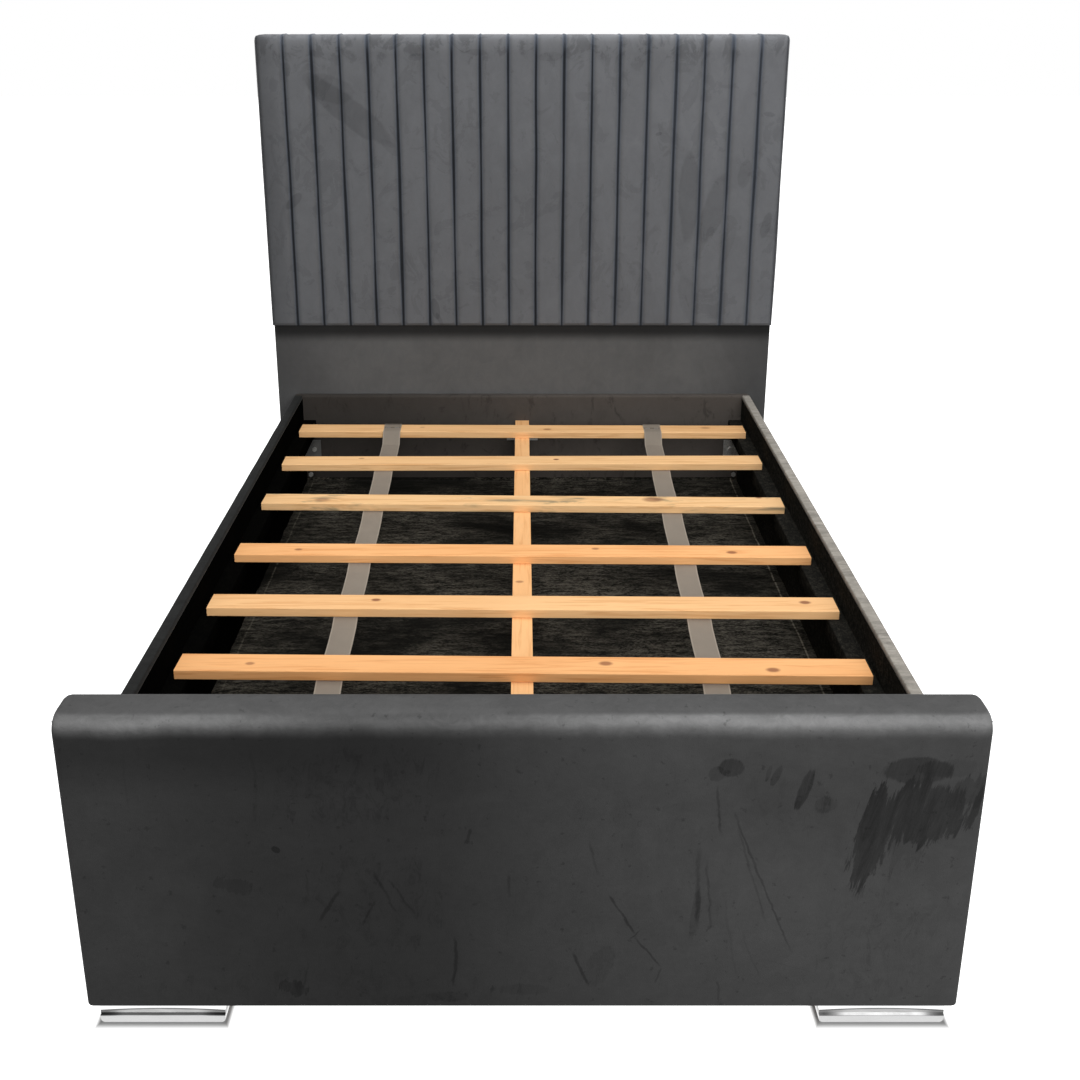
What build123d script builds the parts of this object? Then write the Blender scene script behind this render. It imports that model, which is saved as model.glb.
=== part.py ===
"""Upholstered double bed frame: channelled headboard, high padded foot end, slatted base.

Millimetres. +X is the right-hand side seen from the foot, +Y points to the headboard and
+Z is up. The origin lies on the floor, under the middle of the whole bed.
"""
from build123d import *
import math
import os

os.makedirs("parts", exist_ok=True)

# ---------------------------------------------------------------- driving dimensions
mattress_w = 1350           # standard double mattress
mattress_l = 1900
mattress_gap = 5            # room round the mattress on every side

cover_t = 2                 # velvet with its thin wadding
lining_t = 1                # black non-woven cloth
board_t = 20                # side rails and head rail
panel_t = 6                 # facing panels of headboard and footboard

rail_top = 430              # top of the side rails above the floor
rail_h = 280
cover_return = 8            # velvet folded down inside the side rails, above the lining

slat_top = 370
slat_w = 64
slat_t = 20
slat_ease = 2               # rounding of the slats' long edges
slat_end_gap = 15           # from each slat end to the side rail
slat_pitches = (165, 265, 290, 300, 260, 255, 265)    # head rail to first slat, then slat to slat
slat_skews = (-0.5, 0.3, -1.1, -0.7, -0.7, -0.9, -0.3)    # the slats lie loose, a little askew

base_cloth_turn = 10        # dust cloth turned up inside the rails, below the lowest bolt heads

ledge_w = 38
ledge_h = 38
ledge_screw_count = 3

beam_w = 42
beam_h = 63
leg_w = 42
glide_t = 8

strap_w = 51
strap_t = 1.5
strap_sag = 9
strap_head_x = 389          # strap centre at the first slat
strap_drift = -24           # sideways shift of both straps from the first slat to the last
strap_hem = 30

headboard_w = 1520
headboard_top = 1500
pleat_bottom = 652          # lower edge of the channelled part
channel_count = 19
channel_crown = 9           # rise of each channel above its seams
seam_t = 4                  # stitched cover at the seams
pleat_wrap_t = 4            # padded cover round the sides and top of the headboard
pleat_round = 16            # rounded top edge of the channelled part
pleat_foam_t = 20
lower_foam_t = 10
head_frame_t = 38
upright_w = 110
batten_h = 63
rear_glide_h = 12
rear_glide_w = 60

foot_t = 90
foot_top = 570
foot_overhang = 3           # footboard beyond the side rails, each side
foot_foam_t = 12
foot_end_round = 12
foot_roll_r = 32            # rolled front and back edges of the padded top
foot_post_w = 62
foot_rail_h = 62

chrome_foot_w = 203
chrome_foot_h = 36
chrome_foot_d = 60
chrome_foot_setback = 3     # from the footboard's front
chrome_foot_inset = 20      # from the footboard's end
chrome_band_h = 14          # projecting lower band of the foot
chrome_step = 3

bracket_leg = 50
bracket_h = 60
bracket_t = 3
bracket_bottom = 225
bracket_bolt_in = 30        # bolt line from the inside corner
bolt_r = 4
bolt_bite = 18              # bolt length in the wood
bolt_head_r = 7.5
bolt_head_t = 5.3
headboard_bolt_bite = 32    # long bolts, into the headboard's uprights
clearance = 0.2             # round the bolts

screw_r = 2                 # wood screws are driven in without a pilot hole
screw_bite = 16             # screw length in the wood
screw_head_r = 4
screw_head_t = 2.5          # countersunk head
screw_proud = 0.6           # a head stands this much out of the cradle's thin steel
foot_screw_r = 2.5
foot_screw_bite = 25
foot_screw_gap = 120        # between the two screws of a foot

cradle_t = 2
cradle_h = 48
cradle_d = 40
cradle_flange = 25

staple_w = 12
staple_leg = 6
staple_wire = 0.8

# ---------------------------------------------------------------- planes that pieces share
bay_w = mattress_w + 2 * mattress_gap
bay_l = mattress_l + 2 * mattress_gap
lining_x = bay_w / 2
board_x = lining_x + lining_t
cover_x = board_x + board_t
rail_outer_x = cover_x + cover_t
rail_bottom = rail_top - rail_h
board_top = rail_top - cover_t

head_rail_t = cover_t + board_t
headboard_t = cover_t + lower_foam_t + panel_t + head_frame_t + lining_t
total_l = foot_t + bay_l + head_rail_t + headboard_t
foot_front_y = -total_l / 2
foot_back_y = foot_front_y + foot_t
foot_mid_y = foot_front_y + foot_t / 2
head_rail_y = foot_back_y + bay_l
headboard_y = head_rail_y + head_rail_t
head_panel_y = headboard_y + cover_t + lower_foam_t
head_frame_y = head_panel_y + panel_t
back_cloth_y = head_frame_y + head_frame_t
headboard_back_y = back_cloth_y + lining_t
bay_mid_y = (foot_back_y + head_rail_y) / 2

slat_bottom = slat_top - slat_t
ledge_top = slat_bottom - lining_t
ledge_bottom = ledge_top - ledge_h
ledge_x = board_x - ledge_w
slat_l = bay_w - 2 * slat_end_gap
beam_bottom = slat_bottom - beam_h

core_x = headboard_w / 2 - pleat_wrap_t
core_top = headboard_top - pleat_wrap_t
core_bottom = rear_glide_h + cover_t
upright_x = core_x - upright_w

foot_x = rail_outer_x + foot_overhang
foot_core_x = foot_x - foot_end_round
foot_roll_z = foot_top - foot_roll_r
foot_panel_front_y = foot_front_y + cover_t + foot_foam_t
foot_panel_back_y = foot_back_y - cover_t - panel_t
foot_frame_y = foot_panel_front_y + panel_t
foot_frame_mid_y = (foot_frame_y + foot_panel_back_y) / 2
foot_frame_bottom = chrome_foot_h + cover_t
post_inner_x = foot_core_x - foot_post_w
chrome_foot_x = foot_x - chrome_foot_inset - chrome_foot_w / 2
chrome_front_y = foot_front_y + chrome_foot_setback
chrome_back_y = chrome_front_y + chrome_foot_d

middle = Plane.YZ
bay_middle = Plane(origin=(0, bay_mid_y, 0), z_dir=(0, 1, 0))
LOW = (Align.CENTER, Align.CENTER, Align.MIN)
CORNER = (Align.MIN, Align.MIN, Align.MIN)


# ---------------------------------------------------------------- helpers
def save(piece, node):
    """Label a finished piece and write its STEP file."""
    piece.part.label = node
    export_step(piece.part, f"parts/{node}.step")


def save_pair(right_piece, node):
    """Write the right-hand piece and its mirrored left-hand twin."""
    save(right_piece, f"right_{node}")
    with BuildPart() as left_piece:
        add(mirror(right_piece.part, about=middle, mode=Mode.PRIVATE))
    save(left_piece, f"left_{node}")


def block(x_range, y_range, z_range, mode=Mode.ADD):
    """A box between three pairs of planes."""
    with Locations((x_range[0], y_range[0], z_range[0])):
        Box(
            x_range[1] - x_range[0],
            y_range[1] - y_range[0],
            z_range[1] - z_range[0],
            align=CORNER,
            mode=mode,
        )


def bore(origin, direction, radius, depth):
    """A round hole from a point, along a direction."""
    with Locations(Plane(origin=origin, z_dir=direction)):
        Cylinder(radius, depth, align=LOW, mode=Mode.SUBTRACT)


def screw(top, direction, length):
    """A countersunk wood screw: the flat of its head lies at top, its shank runs along direction."""
    with Locations(Plane(origin=top, z_dir=direction)):
        Cone(screw_head_r, screw_r, screw_head_t, align=LOW)
        Cylinder(screw_r, length, align=LOW)


def hex_bolt(seat, direction, reach):
    """A hexagon bolt whose head stands on the seat and whose shank runs along direction."""
    with BuildSketch(Plane(origin=seat, z_dir=direction)) as head:
        RegularPolygon(bolt_head_r, 6)
    extrude(head.sketch, amount=-bolt_head_t)
    with Locations(Plane(origin=seat, z_dir=direction)):
        Cylinder(bolt_r, reach, align=LOW)


def rail_bolt_points():
    """(y, z) of the bracket bolts through the side rails, both ends."""
    z = bracket_bottom + bracket_h / 2
    return [(head_rail_y - bracket_bolt_in, z), (foot_back_y + bracket_bolt_in, z)]


def end_bolt_points():
    """(x, z) of the bracket bolts into the head rail and the footboard, both sides."""
    x = lining_x - bracket_bolt_in
    z = bracket_bottom + bracket_h / 2
    return [(-x, z), (x, z)]


def headboard_bolt_points():
    """(x, z) of the bolts that hold the head rail to the headboard's uprights."""
    x = upright_x + 20
    heights = (rail_bottom + 20, rail_bottom + 55)
    return [(side * x, z) for side in (-1, 1) for z in heights]


def cradle_screw_points():
    """(x, z) of the two screws of a beam cradle."""
    z = beam_bottom + beam_h / 2
    return [(side * (beam_w / 2 + 15), z) for side in (-1, 1)]


def foot_screw_xs():
    """Distances of a foot's two screws from the bed's middle."""
    return (chrome_foot_x - foot_screw_gap / 2, chrome_foot_x + foot_screw_gap / 2)


# ---------------------------------------------------------------- headboard frame
with BuildPart() as right_upright:
    block((upright_x, core_x), (head_frame_y, back_cloth_y), (core_bottom, core_top - batten_h))
    for x, z in headboard_bolt_points():
        bore((x, head_frame_y, z), (0, 1, 0), bolt_r + clearance, head_frame_t - 4)
save_pair(right_upright, "headboard_upright")

for node, base in (
    ("headboard_top_batten", core_top - batten_h),
    ("headboard_middle_batten", pleat_bottom - batten_h / 2),
    ("headboard_rail_batten", slat_top - batten_h),
    ("headboard_base_batten", core_bottom),
):
    half = core_x if node == "headboard_top_batten" else upright_x
    with BuildPart() as batten:
        block((-half, half), (head_frame_y, back_cloth_y), (base, base + batten_h))
    save(batten, node)

with BuildPart() as headboard_panel:
    block((-core_x, core_x), (head_panel_y, head_frame_y), (core_bottom, core_top))
    for x, z in headboard_bolt_points():
        bore((x, head_panel_y, z), (0, 1, 0), bolt_r + clearance, panel_t)
save(headboard_panel, "headboard_panel")

with BuildPart() as headboard_back_cloth:
    block((-core_x, core_x), (back_cloth_y, headboard_back_y), (core_bottom, core_top))
save(headboard_back_cloth, "headboard_back_cloth")

# ---------------------------------------------------------------- headboard upholstery
pleat_seam_y = head_panel_y - pleat_foam_t - seam_t
pleat_crest_y = pleat_seam_y - channel_crown
pleat_foam_bottom = pleat_bottom + pleat_wrap_t

with BuildPart() as headboard_channel_foam:
    block(
        (-core_x, core_x),
        (head_panel_y - pleat_foam_t, head_panel_y),
        (pleat_foam_bottom, core_top),
    )
save(headboard_channel_foam, "headboard_channel_foam")

with BuildPart() as headboard_channel_cover:
    # plan of the upright channels: one shallow arc for each, meeting at the seams
    channel_w = headboard_w / channel_count
    with BuildSketch(Plane.XY.offset(pleat_bottom)):
        with BuildLine():
            for channel in range(channel_count):
                seam_x = -headboard_w / 2 + channel * channel_w
                ThreePointArc(
                    (seam_x, pleat_seam_y),
                    (seam_x + channel_w / 2, pleat_crest_y),
                    (seam_x + channel_w, pleat_seam_y),
                )
            Polyline(
                (headboard_w / 2, pleat_seam_y),
                (headboard_w / 2, headboard_back_y),
                (-headboard_w / 2, headboard_back_y),
                (-headboard_w / 2, pleat_seam_y),
            )
        make_face()
    extrude(amount=headboard_top - pleat_bottom)
    # side view, with the front edge rolled over at the top and tucked in at the bottom
    with BuildSketch(Plane.YZ):
        with Locations((pleat_crest_y, pleat_bottom)):
            Rectangle(
                headboard_back_y - pleat_crest_y,
                headboard_top - pleat_bottom,
                align=(Align.MIN, Align.MIN),
            )
        front_corners = vertices().group_by(Axis.X)[0]
        fillet(front_corners.sort_by(Axis.Y)[-1], pleat_round)
        fillet(vertices().group_by(Axis.X)[0].sort_by(Axis.Y)[0], channel_crown)
    extrude(amount=headboard_w / 2, both=True, mode=Mode.INTERSECT)
    block((-core_x, core_x), (head_panel_y, headboard_back_y), (pleat_bottom, core_top), Mode.SUBTRACT)
    block(
        (-core_x, core_x),
        (head_panel_y - pleat_foam_t, head_panel_y),
        (pleat_foam_bottom, core_top),
        Mode.SUBTRACT,
    )
save(headboard_channel_cover, "headboard_channel_cover")

with BuildPart() as headboard_lower_foam:
    block((-core_x, core_x), (headboard_y + cover_t, head_panel_y), (core_bottom, pleat_bottom))
save(headboard_lower_foam, "headboard_lower_foam")

with BuildPart() as headboard_lower_cover:
    lower_x = core_x + cover_t
    block((-lower_x, lower_x), (headboard_y, headboard_back_y), (rear_glide_h, pleat_bottom))
    block(
        (-core_x, core_x),
        (headboard_y + cover_t, headboard_back_y),
        (core_bottom, pleat_bottom),
        Mode.SUBTRACT,
    )
save(headboard_lower_cover, "headboard_lower_cover")

with BuildPart() as right_headboard_glide:
    with Locations((upright_x + upright_w / 2, head_frame_y + head_frame_t / 2, 0)):
        Box(rear_glide_w, head_frame_t, rear_glide_h, align=LOW)
    chamfer(faces().sort_by(Axis.Z)[0].edges(), 2)
save_pair(right_headboard_glide, "headboard_glide")

# ---------------------------------------------------------------- head rail
with BuildPart() as head_rail_board:
    block((-cover_x, cover_x), (head_rail_y + cover_t, headboard_y), (rail_bottom, board_top))
    for x, z in end_bolt_points():
        bore((x, head_rail_y, z), (0, 1, 0), bolt_r + clearance, cover_t + bolt_bite)
    for x, z in headboard_bolt_points():
        bore((x, head_rail_y, z), (0, 1, 0), bolt_r + clearance, head_rail_t)
save(head_rail_board, "head_rail_board")

with BuildPart() as head_rail_cover:
    block((-rail_outer_x, rail_outer_x), (head_rail_y, headboard_y), (rail_bottom, rail_top))
    block(
        (-cover_x, cover_x),
        (head_rail_y + cover_t, headboard_y),
        (rail_bottom, board_top),
        Mode.SUBTRACT,
    )
save(head_rail_cover, "head_rail_cover")

# ---------------------------------------------------------------- side rails
ledge_screw_pitch = bay_l / ledge_screw_count
ledge_screw_ys = [
    foot_back_y + ledge_screw_pitch * (number + 0.5) for number in range(ledge_screw_count)
]
ledge_screw_z = (ledge_top + ledge_bottom) / 2

with BuildPart() as right_rail_board:
    block((board_x, cover_x), (foot_back_y, head_rail_y), (rail_bottom, board_top))
    for y, z in rail_bolt_points():
        bore((board_x, y, z), (1, 0, 0), bolt_r + clearance, bolt_bite)
save_pair(right_rail_board, "rail_board")

with BuildPart() as right_rail_cover:
    # a wrap over the outside and the top, with a short return inside
    with BuildSketch(Plane.XZ.offset(-foot_back_y)):
        with Locations((lining_x, rail_bottom)):
            Rectangle(rail_outer_x - lining_x, rail_h, align=(Align.MIN, Align.MIN))
        fillet(vertices().group_by(Axis.Y)[-1], cover_t)
        with Locations((board_x, rail_bottom)):
            Rectangle(board_t, rail_h - cover_t, align=(Align.MIN, Align.MIN), mode=Mode.SUBTRACT)
        with Locations((lining_x, rail_bottom)):
            Rectangle(
                lining_t,
                rail_h - cover_t - cover_return,
                align=(Align.MIN, Align.MIN),
                mode=Mode.SUBTRACT,
            )
    extrude(amount=-bay_l)
save_pair(right_rail_cover, "rail_cover")

with BuildPart() as right_ledge:
    block((ledge_x, board_x), (foot_back_y, head_rail_y), (ledge_bottom, ledge_top))
save_pair(right_ledge, "ledge")

with BuildPart() as right_rail_lining:
    # one cloth down the board, round the ledge and on to the foot of the rail
    half = lining_t / 2
    cloth_top = board_top - cover_return
    with BuildSketch(Plane.XZ.offset(-foot_back_y)):
        with BuildLine():
            Polyline(
                (board_x - half, cloth_top),
                (board_x - half, ledge_top + half),
                (ledge_x - half, ledge_top + half),
                (ledge_x - half, ledge_bottom - half),
                (board_x - half, ledge_bottom - half),
                (board_x - half, rail_bottom),
            )
        trace(line_width=lining_t)
    extrude(amount=-bay_l)
save_pair(right_rail_lining, "rail_lining")

with BuildPart() as ledge_screws:
    for side in (-1, 1):
        for y in ledge_screw_ys:
            screw((side * ledge_x, y, ledge_screw_z), (side, 0, 0), ledge_w + screw_bite)
save(ledge_screws, "ledge_screws")

# ---------------------------------------------------------------- footboard
with BuildPart() as right_footboard_post:
    block(
        (foot_core_x - foot_post_w, foot_core_x),
        (foot_frame_y, foot_panel_back_y),
        (foot_frame_bottom, foot_roll_z - foot_rail_h),
    )
    for x, z in end_bolt_points():
        depth = bolt_bite - panel_t
        bore((x, foot_panel_back_y, z), (0, -1, 0), bolt_r + clearance, depth)
save_pair(right_footboard_post, "footboard_post")

for node, base, half in (
    ("footboard_top_rail", foot_roll_z - foot_rail_h, foot_core_x),
    ("footboard_middle_rail", beam_bottom, post_inner_x),
    ("footboard_base_rail", foot_frame_bottom, post_inner_x),
):
    with BuildPart() as foot_rail:
        block((-half, half), (foot_frame_y, foot_panel_back_y), (base, base + foot_rail_h))
    save(foot_rail, node)

with BuildPart() as footboard_front_panel:
    block(
        (-foot_core_x, foot_core_x),
        (foot_panel_front_y, foot_frame_y),
        (foot_frame_bottom, foot_roll_z),
    )
save(footboard_front_panel, "footboard_front_panel")

with BuildPart() as footboard_back_panel:
    block(
        (-foot_core_x, foot_core_x),
        (foot_panel_back_y, foot_panel_back_y + panel_t),
        (foot_frame_bottom, foot_roll_z),
    )
    for x, z in end_bolt_points():
        bore((x, foot_back_y, z), (0, -1, 0), bolt_r + clearance, cover_t + panel_t)
save(footboard_back_panel, "footboard_back_panel")


def footboard_form(inset, half_length):
    """Solid with the footboard's rolled top edges, set in from the velvet by inset."""
    with BuildPart() as form:
        with BuildSketch(Plane.YZ):
            with Locations((foot_mid_y, chrome_foot_h + inset)):
                Rectangle(
                    foot_t - 2 * inset,
                    foot_top - chrome_foot_h - 2 * inset,
                    align=(Align.CENTER, Align.MIN),
                )
            fillet(vertices().group_by(Axis.Y)[-1], foot_roll_r - inset)
        extrude(amount=half_length, both=True)
    return form


# the velvet's ends are padded as thick as their rounding
foot_outer = footboard_form(0, foot_x)
foot_inner = footboard_form(cover_t, foot_core_x)

with BuildPart() as footboard_foam:
    add(foot_inner.part)
    block(
        (-foot_core_x, foot_core_x),
        (foot_panel_front_y, foot_back_y - cover_t),
        (foot_frame_bottom, foot_roll_z),
        Mode.SUBTRACT,
    )
save(footboard_foam, "footboard_foam")

with BuildPart() as footboard_cover:
    add(foot_outer.part)
    end_faces = [faces().sort_by(Axis.X)[0], faces().sort_by(Axis.X)[-1]]
    fillet([edge for face in end_faces for edge in face.edges()], foot_end_round)
    add(foot_inner.part, mode=Mode.SUBTRACT)
    # the underside is open inside the stapled margin
    block(
        (-foot_core_x, foot_core_x),
        (foot_panel_front_y, foot_back_y - foot_foam_t),
        (chrome_foot_h, foot_frame_bottom),
        Mode.SUBTRACT,
    )
save(footboard_cover, "footboard_cover")

# ---------------------------------------------------------------- chrome feet
foot_sink = 8

with BuildPart() as right_chrome_foot:
    # end view: an upper part set back from the band at the floor
    with BuildSketch(Plane.YZ.offset(chrome_foot_x)):
        with BuildLine():
            Polyline(
                (chrome_front_y, 0),
                (chrome_back_y, 0),
                (chrome_back_y, chrome_band_h),
                (chrome_back_y - chrome_step, chrome_band_h),
                (chrome_back_y - chrome_step, chrome_foot_h),
                (chrome_front_y + chrome_step, chrome_foot_h),
                (chrome_front_y + chrome_step, chrome_band_h),
                (chrome_front_y, chrome_band_h),
                close=True,
            )
        make_face()
    extrude(amount=chrome_foot_w / 2, both=True)
    lower_ends = edges().filter_by(Axis.Y).group_by(Axis.Z)[0]
    fillet(lower_ends, chrome_band_h / 2)
    for x in foot_screw_xs():
        bore((x, foot_frame_mid_y, 0), (0, 0, 1), foot_screw_r, chrome_foot_h)
        bore((x, foot_frame_mid_y, 0), (0, 0, 1), screw_head_r + 2, foot_sink)
save_pair(right_chrome_foot, "chrome_foot")

with BuildPart() as foot_screws:
    for side in (-1, 1):
        for x in foot_screw_xs():
            with Locations((side * x, foot_frame_mid_y, foot_sink - screw_head_t)):
                Cylinder(screw_head_r + 1, screw_head_t, align=LOW)
                Cylinder(foot_screw_r, foot_frame_bottom + foot_screw_bite - foot_sink, align=LOW)
save(foot_screws, "foot_screws")

# ---------------------------------------------------------------- centre beam
with BuildPart() as centre_beam:
    block(
        (-beam_w / 2, beam_w / 2),
        (foot_back_y + cradle_t, head_rail_y - cradle_t),
        (beam_bottom, slat_bottom),
    )
save(centre_beam, "centre_beam")

with BuildPart() as head_beam_cradle:
    cradle_x = beam_w / 2 + cradle_t
    flange_x = cradle_x + cradle_flange
    cradle_bottom = beam_bottom - cradle_t
    plate_y = head_rail_y - cradle_t
    cradle_top = cradle_bottom + cradle_h
    block((-flange_x, flange_x), (plate_y, head_rail_y), (cradle_bottom, cradle_top))
    block((-cradle_x, cradle_x), (plate_y - cradle_d, plate_y), (cradle_bottom, cradle_top))
    block(
        (-beam_w / 2, beam_w / 2),
        (plate_y - cradle_d, plate_y),
        (beam_bottom, slat_bottom),
        Mode.SUBTRACT,
    )
save(head_beam_cradle, "head_beam_cradle")

with BuildPart() as foot_beam_cradle:
    add(mirror(head_beam_cradle.part, about=bay_middle, mode=Mode.PRIVATE))
save(foot_beam_cradle, "foot_beam_cradle")

with BuildPart() as cradle_screws:
    stand = cradle_t + screw_proud
    for x, z in cradle_screw_points():
        screw((x, head_rail_y - stand, z), (0, 1, 0), stand + cover_t + screw_bite)
        screw((x, foot_back_y + stand, z), (0, -1, 0), stand + cover_t + screw_bite)
save(cradle_screws, "cradle_screws")

with BuildPart() as centre_leg:
    block(
        (-leg_w / 2, leg_w / 2),
        (bay_mid_y - leg_w / 2, bay_mid_y + leg_w / 2),
        (glide_t, beam_bottom),
    )
save(centre_leg, "centre_leg")

with BuildPart() as centre_leg_glide:
    with Locations((0, bay_mid_y, 0)):
        Cylinder(leg_w / 2 - 3, glide_t, align=LOW)
save(centre_leg_glide, "centre_leg_glide")

# ---------------------------------------------------------------- dust cloth under the slats
with BuildPart() as base_cloth:
    block((-lining_x, lining_x), (foot_back_y, head_rail_y), (rail_bottom, rail_bottom + base_cloth_turn))
    block(
        (-lining_x + lining_t, lining_x - lining_t),
        (foot_back_y + lining_t, head_rail_y - lining_t),
        (rail_bottom + lining_t, rail_bottom + base_cloth_turn),
        Mode.SUBTRACT,
    )
    with Locations((0, bay_mid_y, rail_bottom)):
        Box(leg_w, leg_w, base_cloth_turn, align=LOW, mode=Mode.SUBTRACT)
save(base_cloth, "base_cloth")

# ---------------------------------------------------------------- slats
slat_ys = []
front_edge_y = head_rail_y
for pitch in slat_pitches:
    front_edge_y -= pitch
    slat_ys.append(front_edge_y + slat_w / 2)

for number, (slat_y, skew) in enumerate(zip(slat_ys, slat_skews), start=1):
    with BuildPart() as slat:
        with Locations(Location((0, slat_y, slat_bottom), (0, 0, skew))):
            Box(slat_l, slat_w, slat_t, align=LOW)
        long_edges = [edge for edge in edges() if edge.length > slat_l / 2]
        fillet(long_edges, slat_ease)
    save(slat, f"slat_{number}")

# ---------------------------------------------------------------- webbing straps
strap_run = slat_ys[0] - slat_ys[-1]
strap_slope = strap_drift / strap_run


def strap_x_at(y, side):
    """Centre of a strap where it crosses y."""
    return side * strap_head_x + strap_slope * (slat_ys[0] - y)


def slat_middle_at(number, side):
    """Middle of a slat where a strap crosses it."""
    offset = side * strap_head_x * math.tan(math.radians(slat_skews[number]))
    return slat_ys[number] + offset


def build_strap(side):
    """Webbing over the first slat, then under the others, slack between them."""
    over = slat_top + strap_t / 2
    under = slat_bottom - strap_t / 2
    half = slat_w / 2
    middles = [slat_middle_at(number, side) for number in range(len(slat_ys))]
    stations = [(middles[0] + half, over), (middles[0] - half, over)]
    for last, here in zip(middles, middles[1:]):
        stations.append(((last + here) / 2, under - strap_sag))
        stations.append((here + half, under))
        stations.append((here - half, under))
    start_y = stations[0][0]
    stretch = math.hypot(1, strap_slope)
    run_plane = Plane(
        origin=(strap_x_at(start_y, side), start_y, 0),
        x_dir=(strap_slope, -1, 0),
        z_dir=(-1, -strap_slope, 0),
    )
    with BuildPart() as strap:
        with BuildSketch(run_plane):
            with BuildLine():
                Polyline(*[((start_y - y) * stretch, z) for y, z in stations])
            trace(line_width=strap_t)
            with Locations((strap_hem / 2, over + strap_t)):
                Rectangle(strap_hem, strap_t)
        extrude(amount=strap_w / 2, both=True)
    return strap


for node, side in (("left_strap", -1), ("right_strap", 1)):
    save(build_strap(side), node)

with BuildPart() as strap_staples:
    # two staples at each crossing, from above on the first slat and from below on the others
    for side in (-1, 1):
        for number in range(len(slat_ys)):
            y = slat_middle_at(number, side)
            face_z = slat_top + strap_t if number == 0 else slat_bottom - strap_t
            into = -1 if number == 0 else 1
            for step in (-1, 1):
                x = strap_x_at(y, side) + step * strap_w / 4
                seat = Plane(origin=(x, y, face_z), x_dir=(1, 0, 0), z_dir=(0, 0, into))
                reach = strap_t + staple_leg
                with Locations(seat):
                    with Locations((0, 0, -staple_wire)):
                        Box(staple_w, staple_wire, staple_wire, align=LOW)
                    with Locations((-staple_w / 2 + staple_wire / 2, 0, 0),
                                   (staple_w / 2 - staple_wire / 2, 0, 0)):
                        Box(staple_wire, staple_wire, reach, align=LOW)
save(strap_staples, "strap_staples")

# ---------------------------------------------------------------- corner brackets and bolts
with BuildPart() as right_head_bracket:
    with BuildSketch(Plane.XY.offset(bracket_bottom)):
        with BuildLine():
            Polyline(
                (lining_x, head_rail_y),
                (lining_x - bracket_leg, head_rail_y),
                (lining_x - bracket_leg, head_rail_y - bracket_t),
                (lining_x - bracket_t, head_rail_y - bracket_t),
                (lining_x - bracket_t, head_rail_y - bracket_leg),
                (lining_x, head_rail_y - bracket_leg),
                close=True,
            )
        make_face()
        corner = vertices().sort_by_distance((lining_x, head_rail_y, 0))[0]
        fillet(corner, bracket_t)
    extrude(amount=bracket_h)
    for x, z in end_bolt_points():
        bore((x, head_rail_y - bracket_t, z), (0, 1, 0), bolt_r + clearance, bracket_t)
    for y, z in rail_bolt_points():
        bore((lining_x - bracket_t, y, z), (1, 0, 0), bolt_r + clearance, bracket_t)

with BuildPart() as right_foot_bracket:
    add(mirror(right_head_bracket.part, about=bay_middle, mode=Mode.PRIVATE))

save_pair(right_head_bracket, "head_bracket")
save_pair(right_foot_bracket, "foot_bracket")

with BuildPart() as bracket_bolts:
    rail_reach = bracket_t + lining_t + bolt_bite
    end_reach = bracket_t + cover_t + bolt_bite
    for side in (-1, 1):
        for y, z in rail_bolt_points():
            hex_bolt((side * (lining_x - bracket_t), y, z), (side, 0, 0), rail_reach)
    for x, z in end_bolt_points():
        hex_bolt((x, head_rail_y - bracket_t, z), (0, 1, 0), end_reach)
        hex_bolt((x, foot_back_y + bracket_t, z), (0, -1, 0), end_reach)
save(bracket_bolts, "bracket_bolts")

with BuildPart() as headboard_bolts:
    for x, z in headboard_bolt_points():
        reach = head_frame_y - head_rail_y + headboard_bolt_bite
        hex_bolt((x, head_rail_y, z), (0, 1, 0), reach)
save(headboard_bolts, "headboard_bolts")
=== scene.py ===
"""Looks of the upholstered double bed frame: velvet covers, black linings, webbing, pine and metal.

Metres, in the frame's own axes: +X to the right seen from the foot, +Y to the headboard, +Z up.
"""
import math

import bmesh
import bpy
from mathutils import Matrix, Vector, noise


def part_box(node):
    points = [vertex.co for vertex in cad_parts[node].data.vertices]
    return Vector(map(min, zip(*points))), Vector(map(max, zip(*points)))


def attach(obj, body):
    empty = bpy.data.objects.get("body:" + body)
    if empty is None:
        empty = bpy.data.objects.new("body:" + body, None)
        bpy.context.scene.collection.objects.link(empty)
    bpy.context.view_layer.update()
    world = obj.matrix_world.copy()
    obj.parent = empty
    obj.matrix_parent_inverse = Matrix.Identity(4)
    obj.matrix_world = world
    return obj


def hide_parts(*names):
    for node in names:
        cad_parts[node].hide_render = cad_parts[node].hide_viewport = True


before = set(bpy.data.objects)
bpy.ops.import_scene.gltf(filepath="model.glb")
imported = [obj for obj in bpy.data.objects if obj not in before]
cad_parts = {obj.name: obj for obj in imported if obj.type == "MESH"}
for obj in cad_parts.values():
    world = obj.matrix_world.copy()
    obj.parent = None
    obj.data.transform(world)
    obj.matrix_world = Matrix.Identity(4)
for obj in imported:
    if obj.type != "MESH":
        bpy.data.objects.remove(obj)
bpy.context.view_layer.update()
scene = bpy.context.scene

# ---------------- sizes that the pieces share
MM = 0.001
channel_count = 19
channel_crown = 9 * MM          # depth of the stitched seams below the channels
shoulder = 20 * MM              # padding rolls down to a seam over this width
velvet_roll = 16 * MM           # rounding of the headboard's padded edges
foot_end_round = 12 * MM
webbing_t = 1.5 * MM
webbing_sag = 9 * MM
webbing_hem = 30 * MM
lining_t = 1 * MM
skin_t = 1 * MM
weld_reach = 0.01 * MM
far = 9                         # past every piece, in metres
velvet_t = 0.9 * MM
foot_velvet_t = 2 * MM
lining_cloth_t = 0.8 * MM
back_cloth_t = 0.4 * MM
webbing_cloth_t = 1.1 * MM

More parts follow.
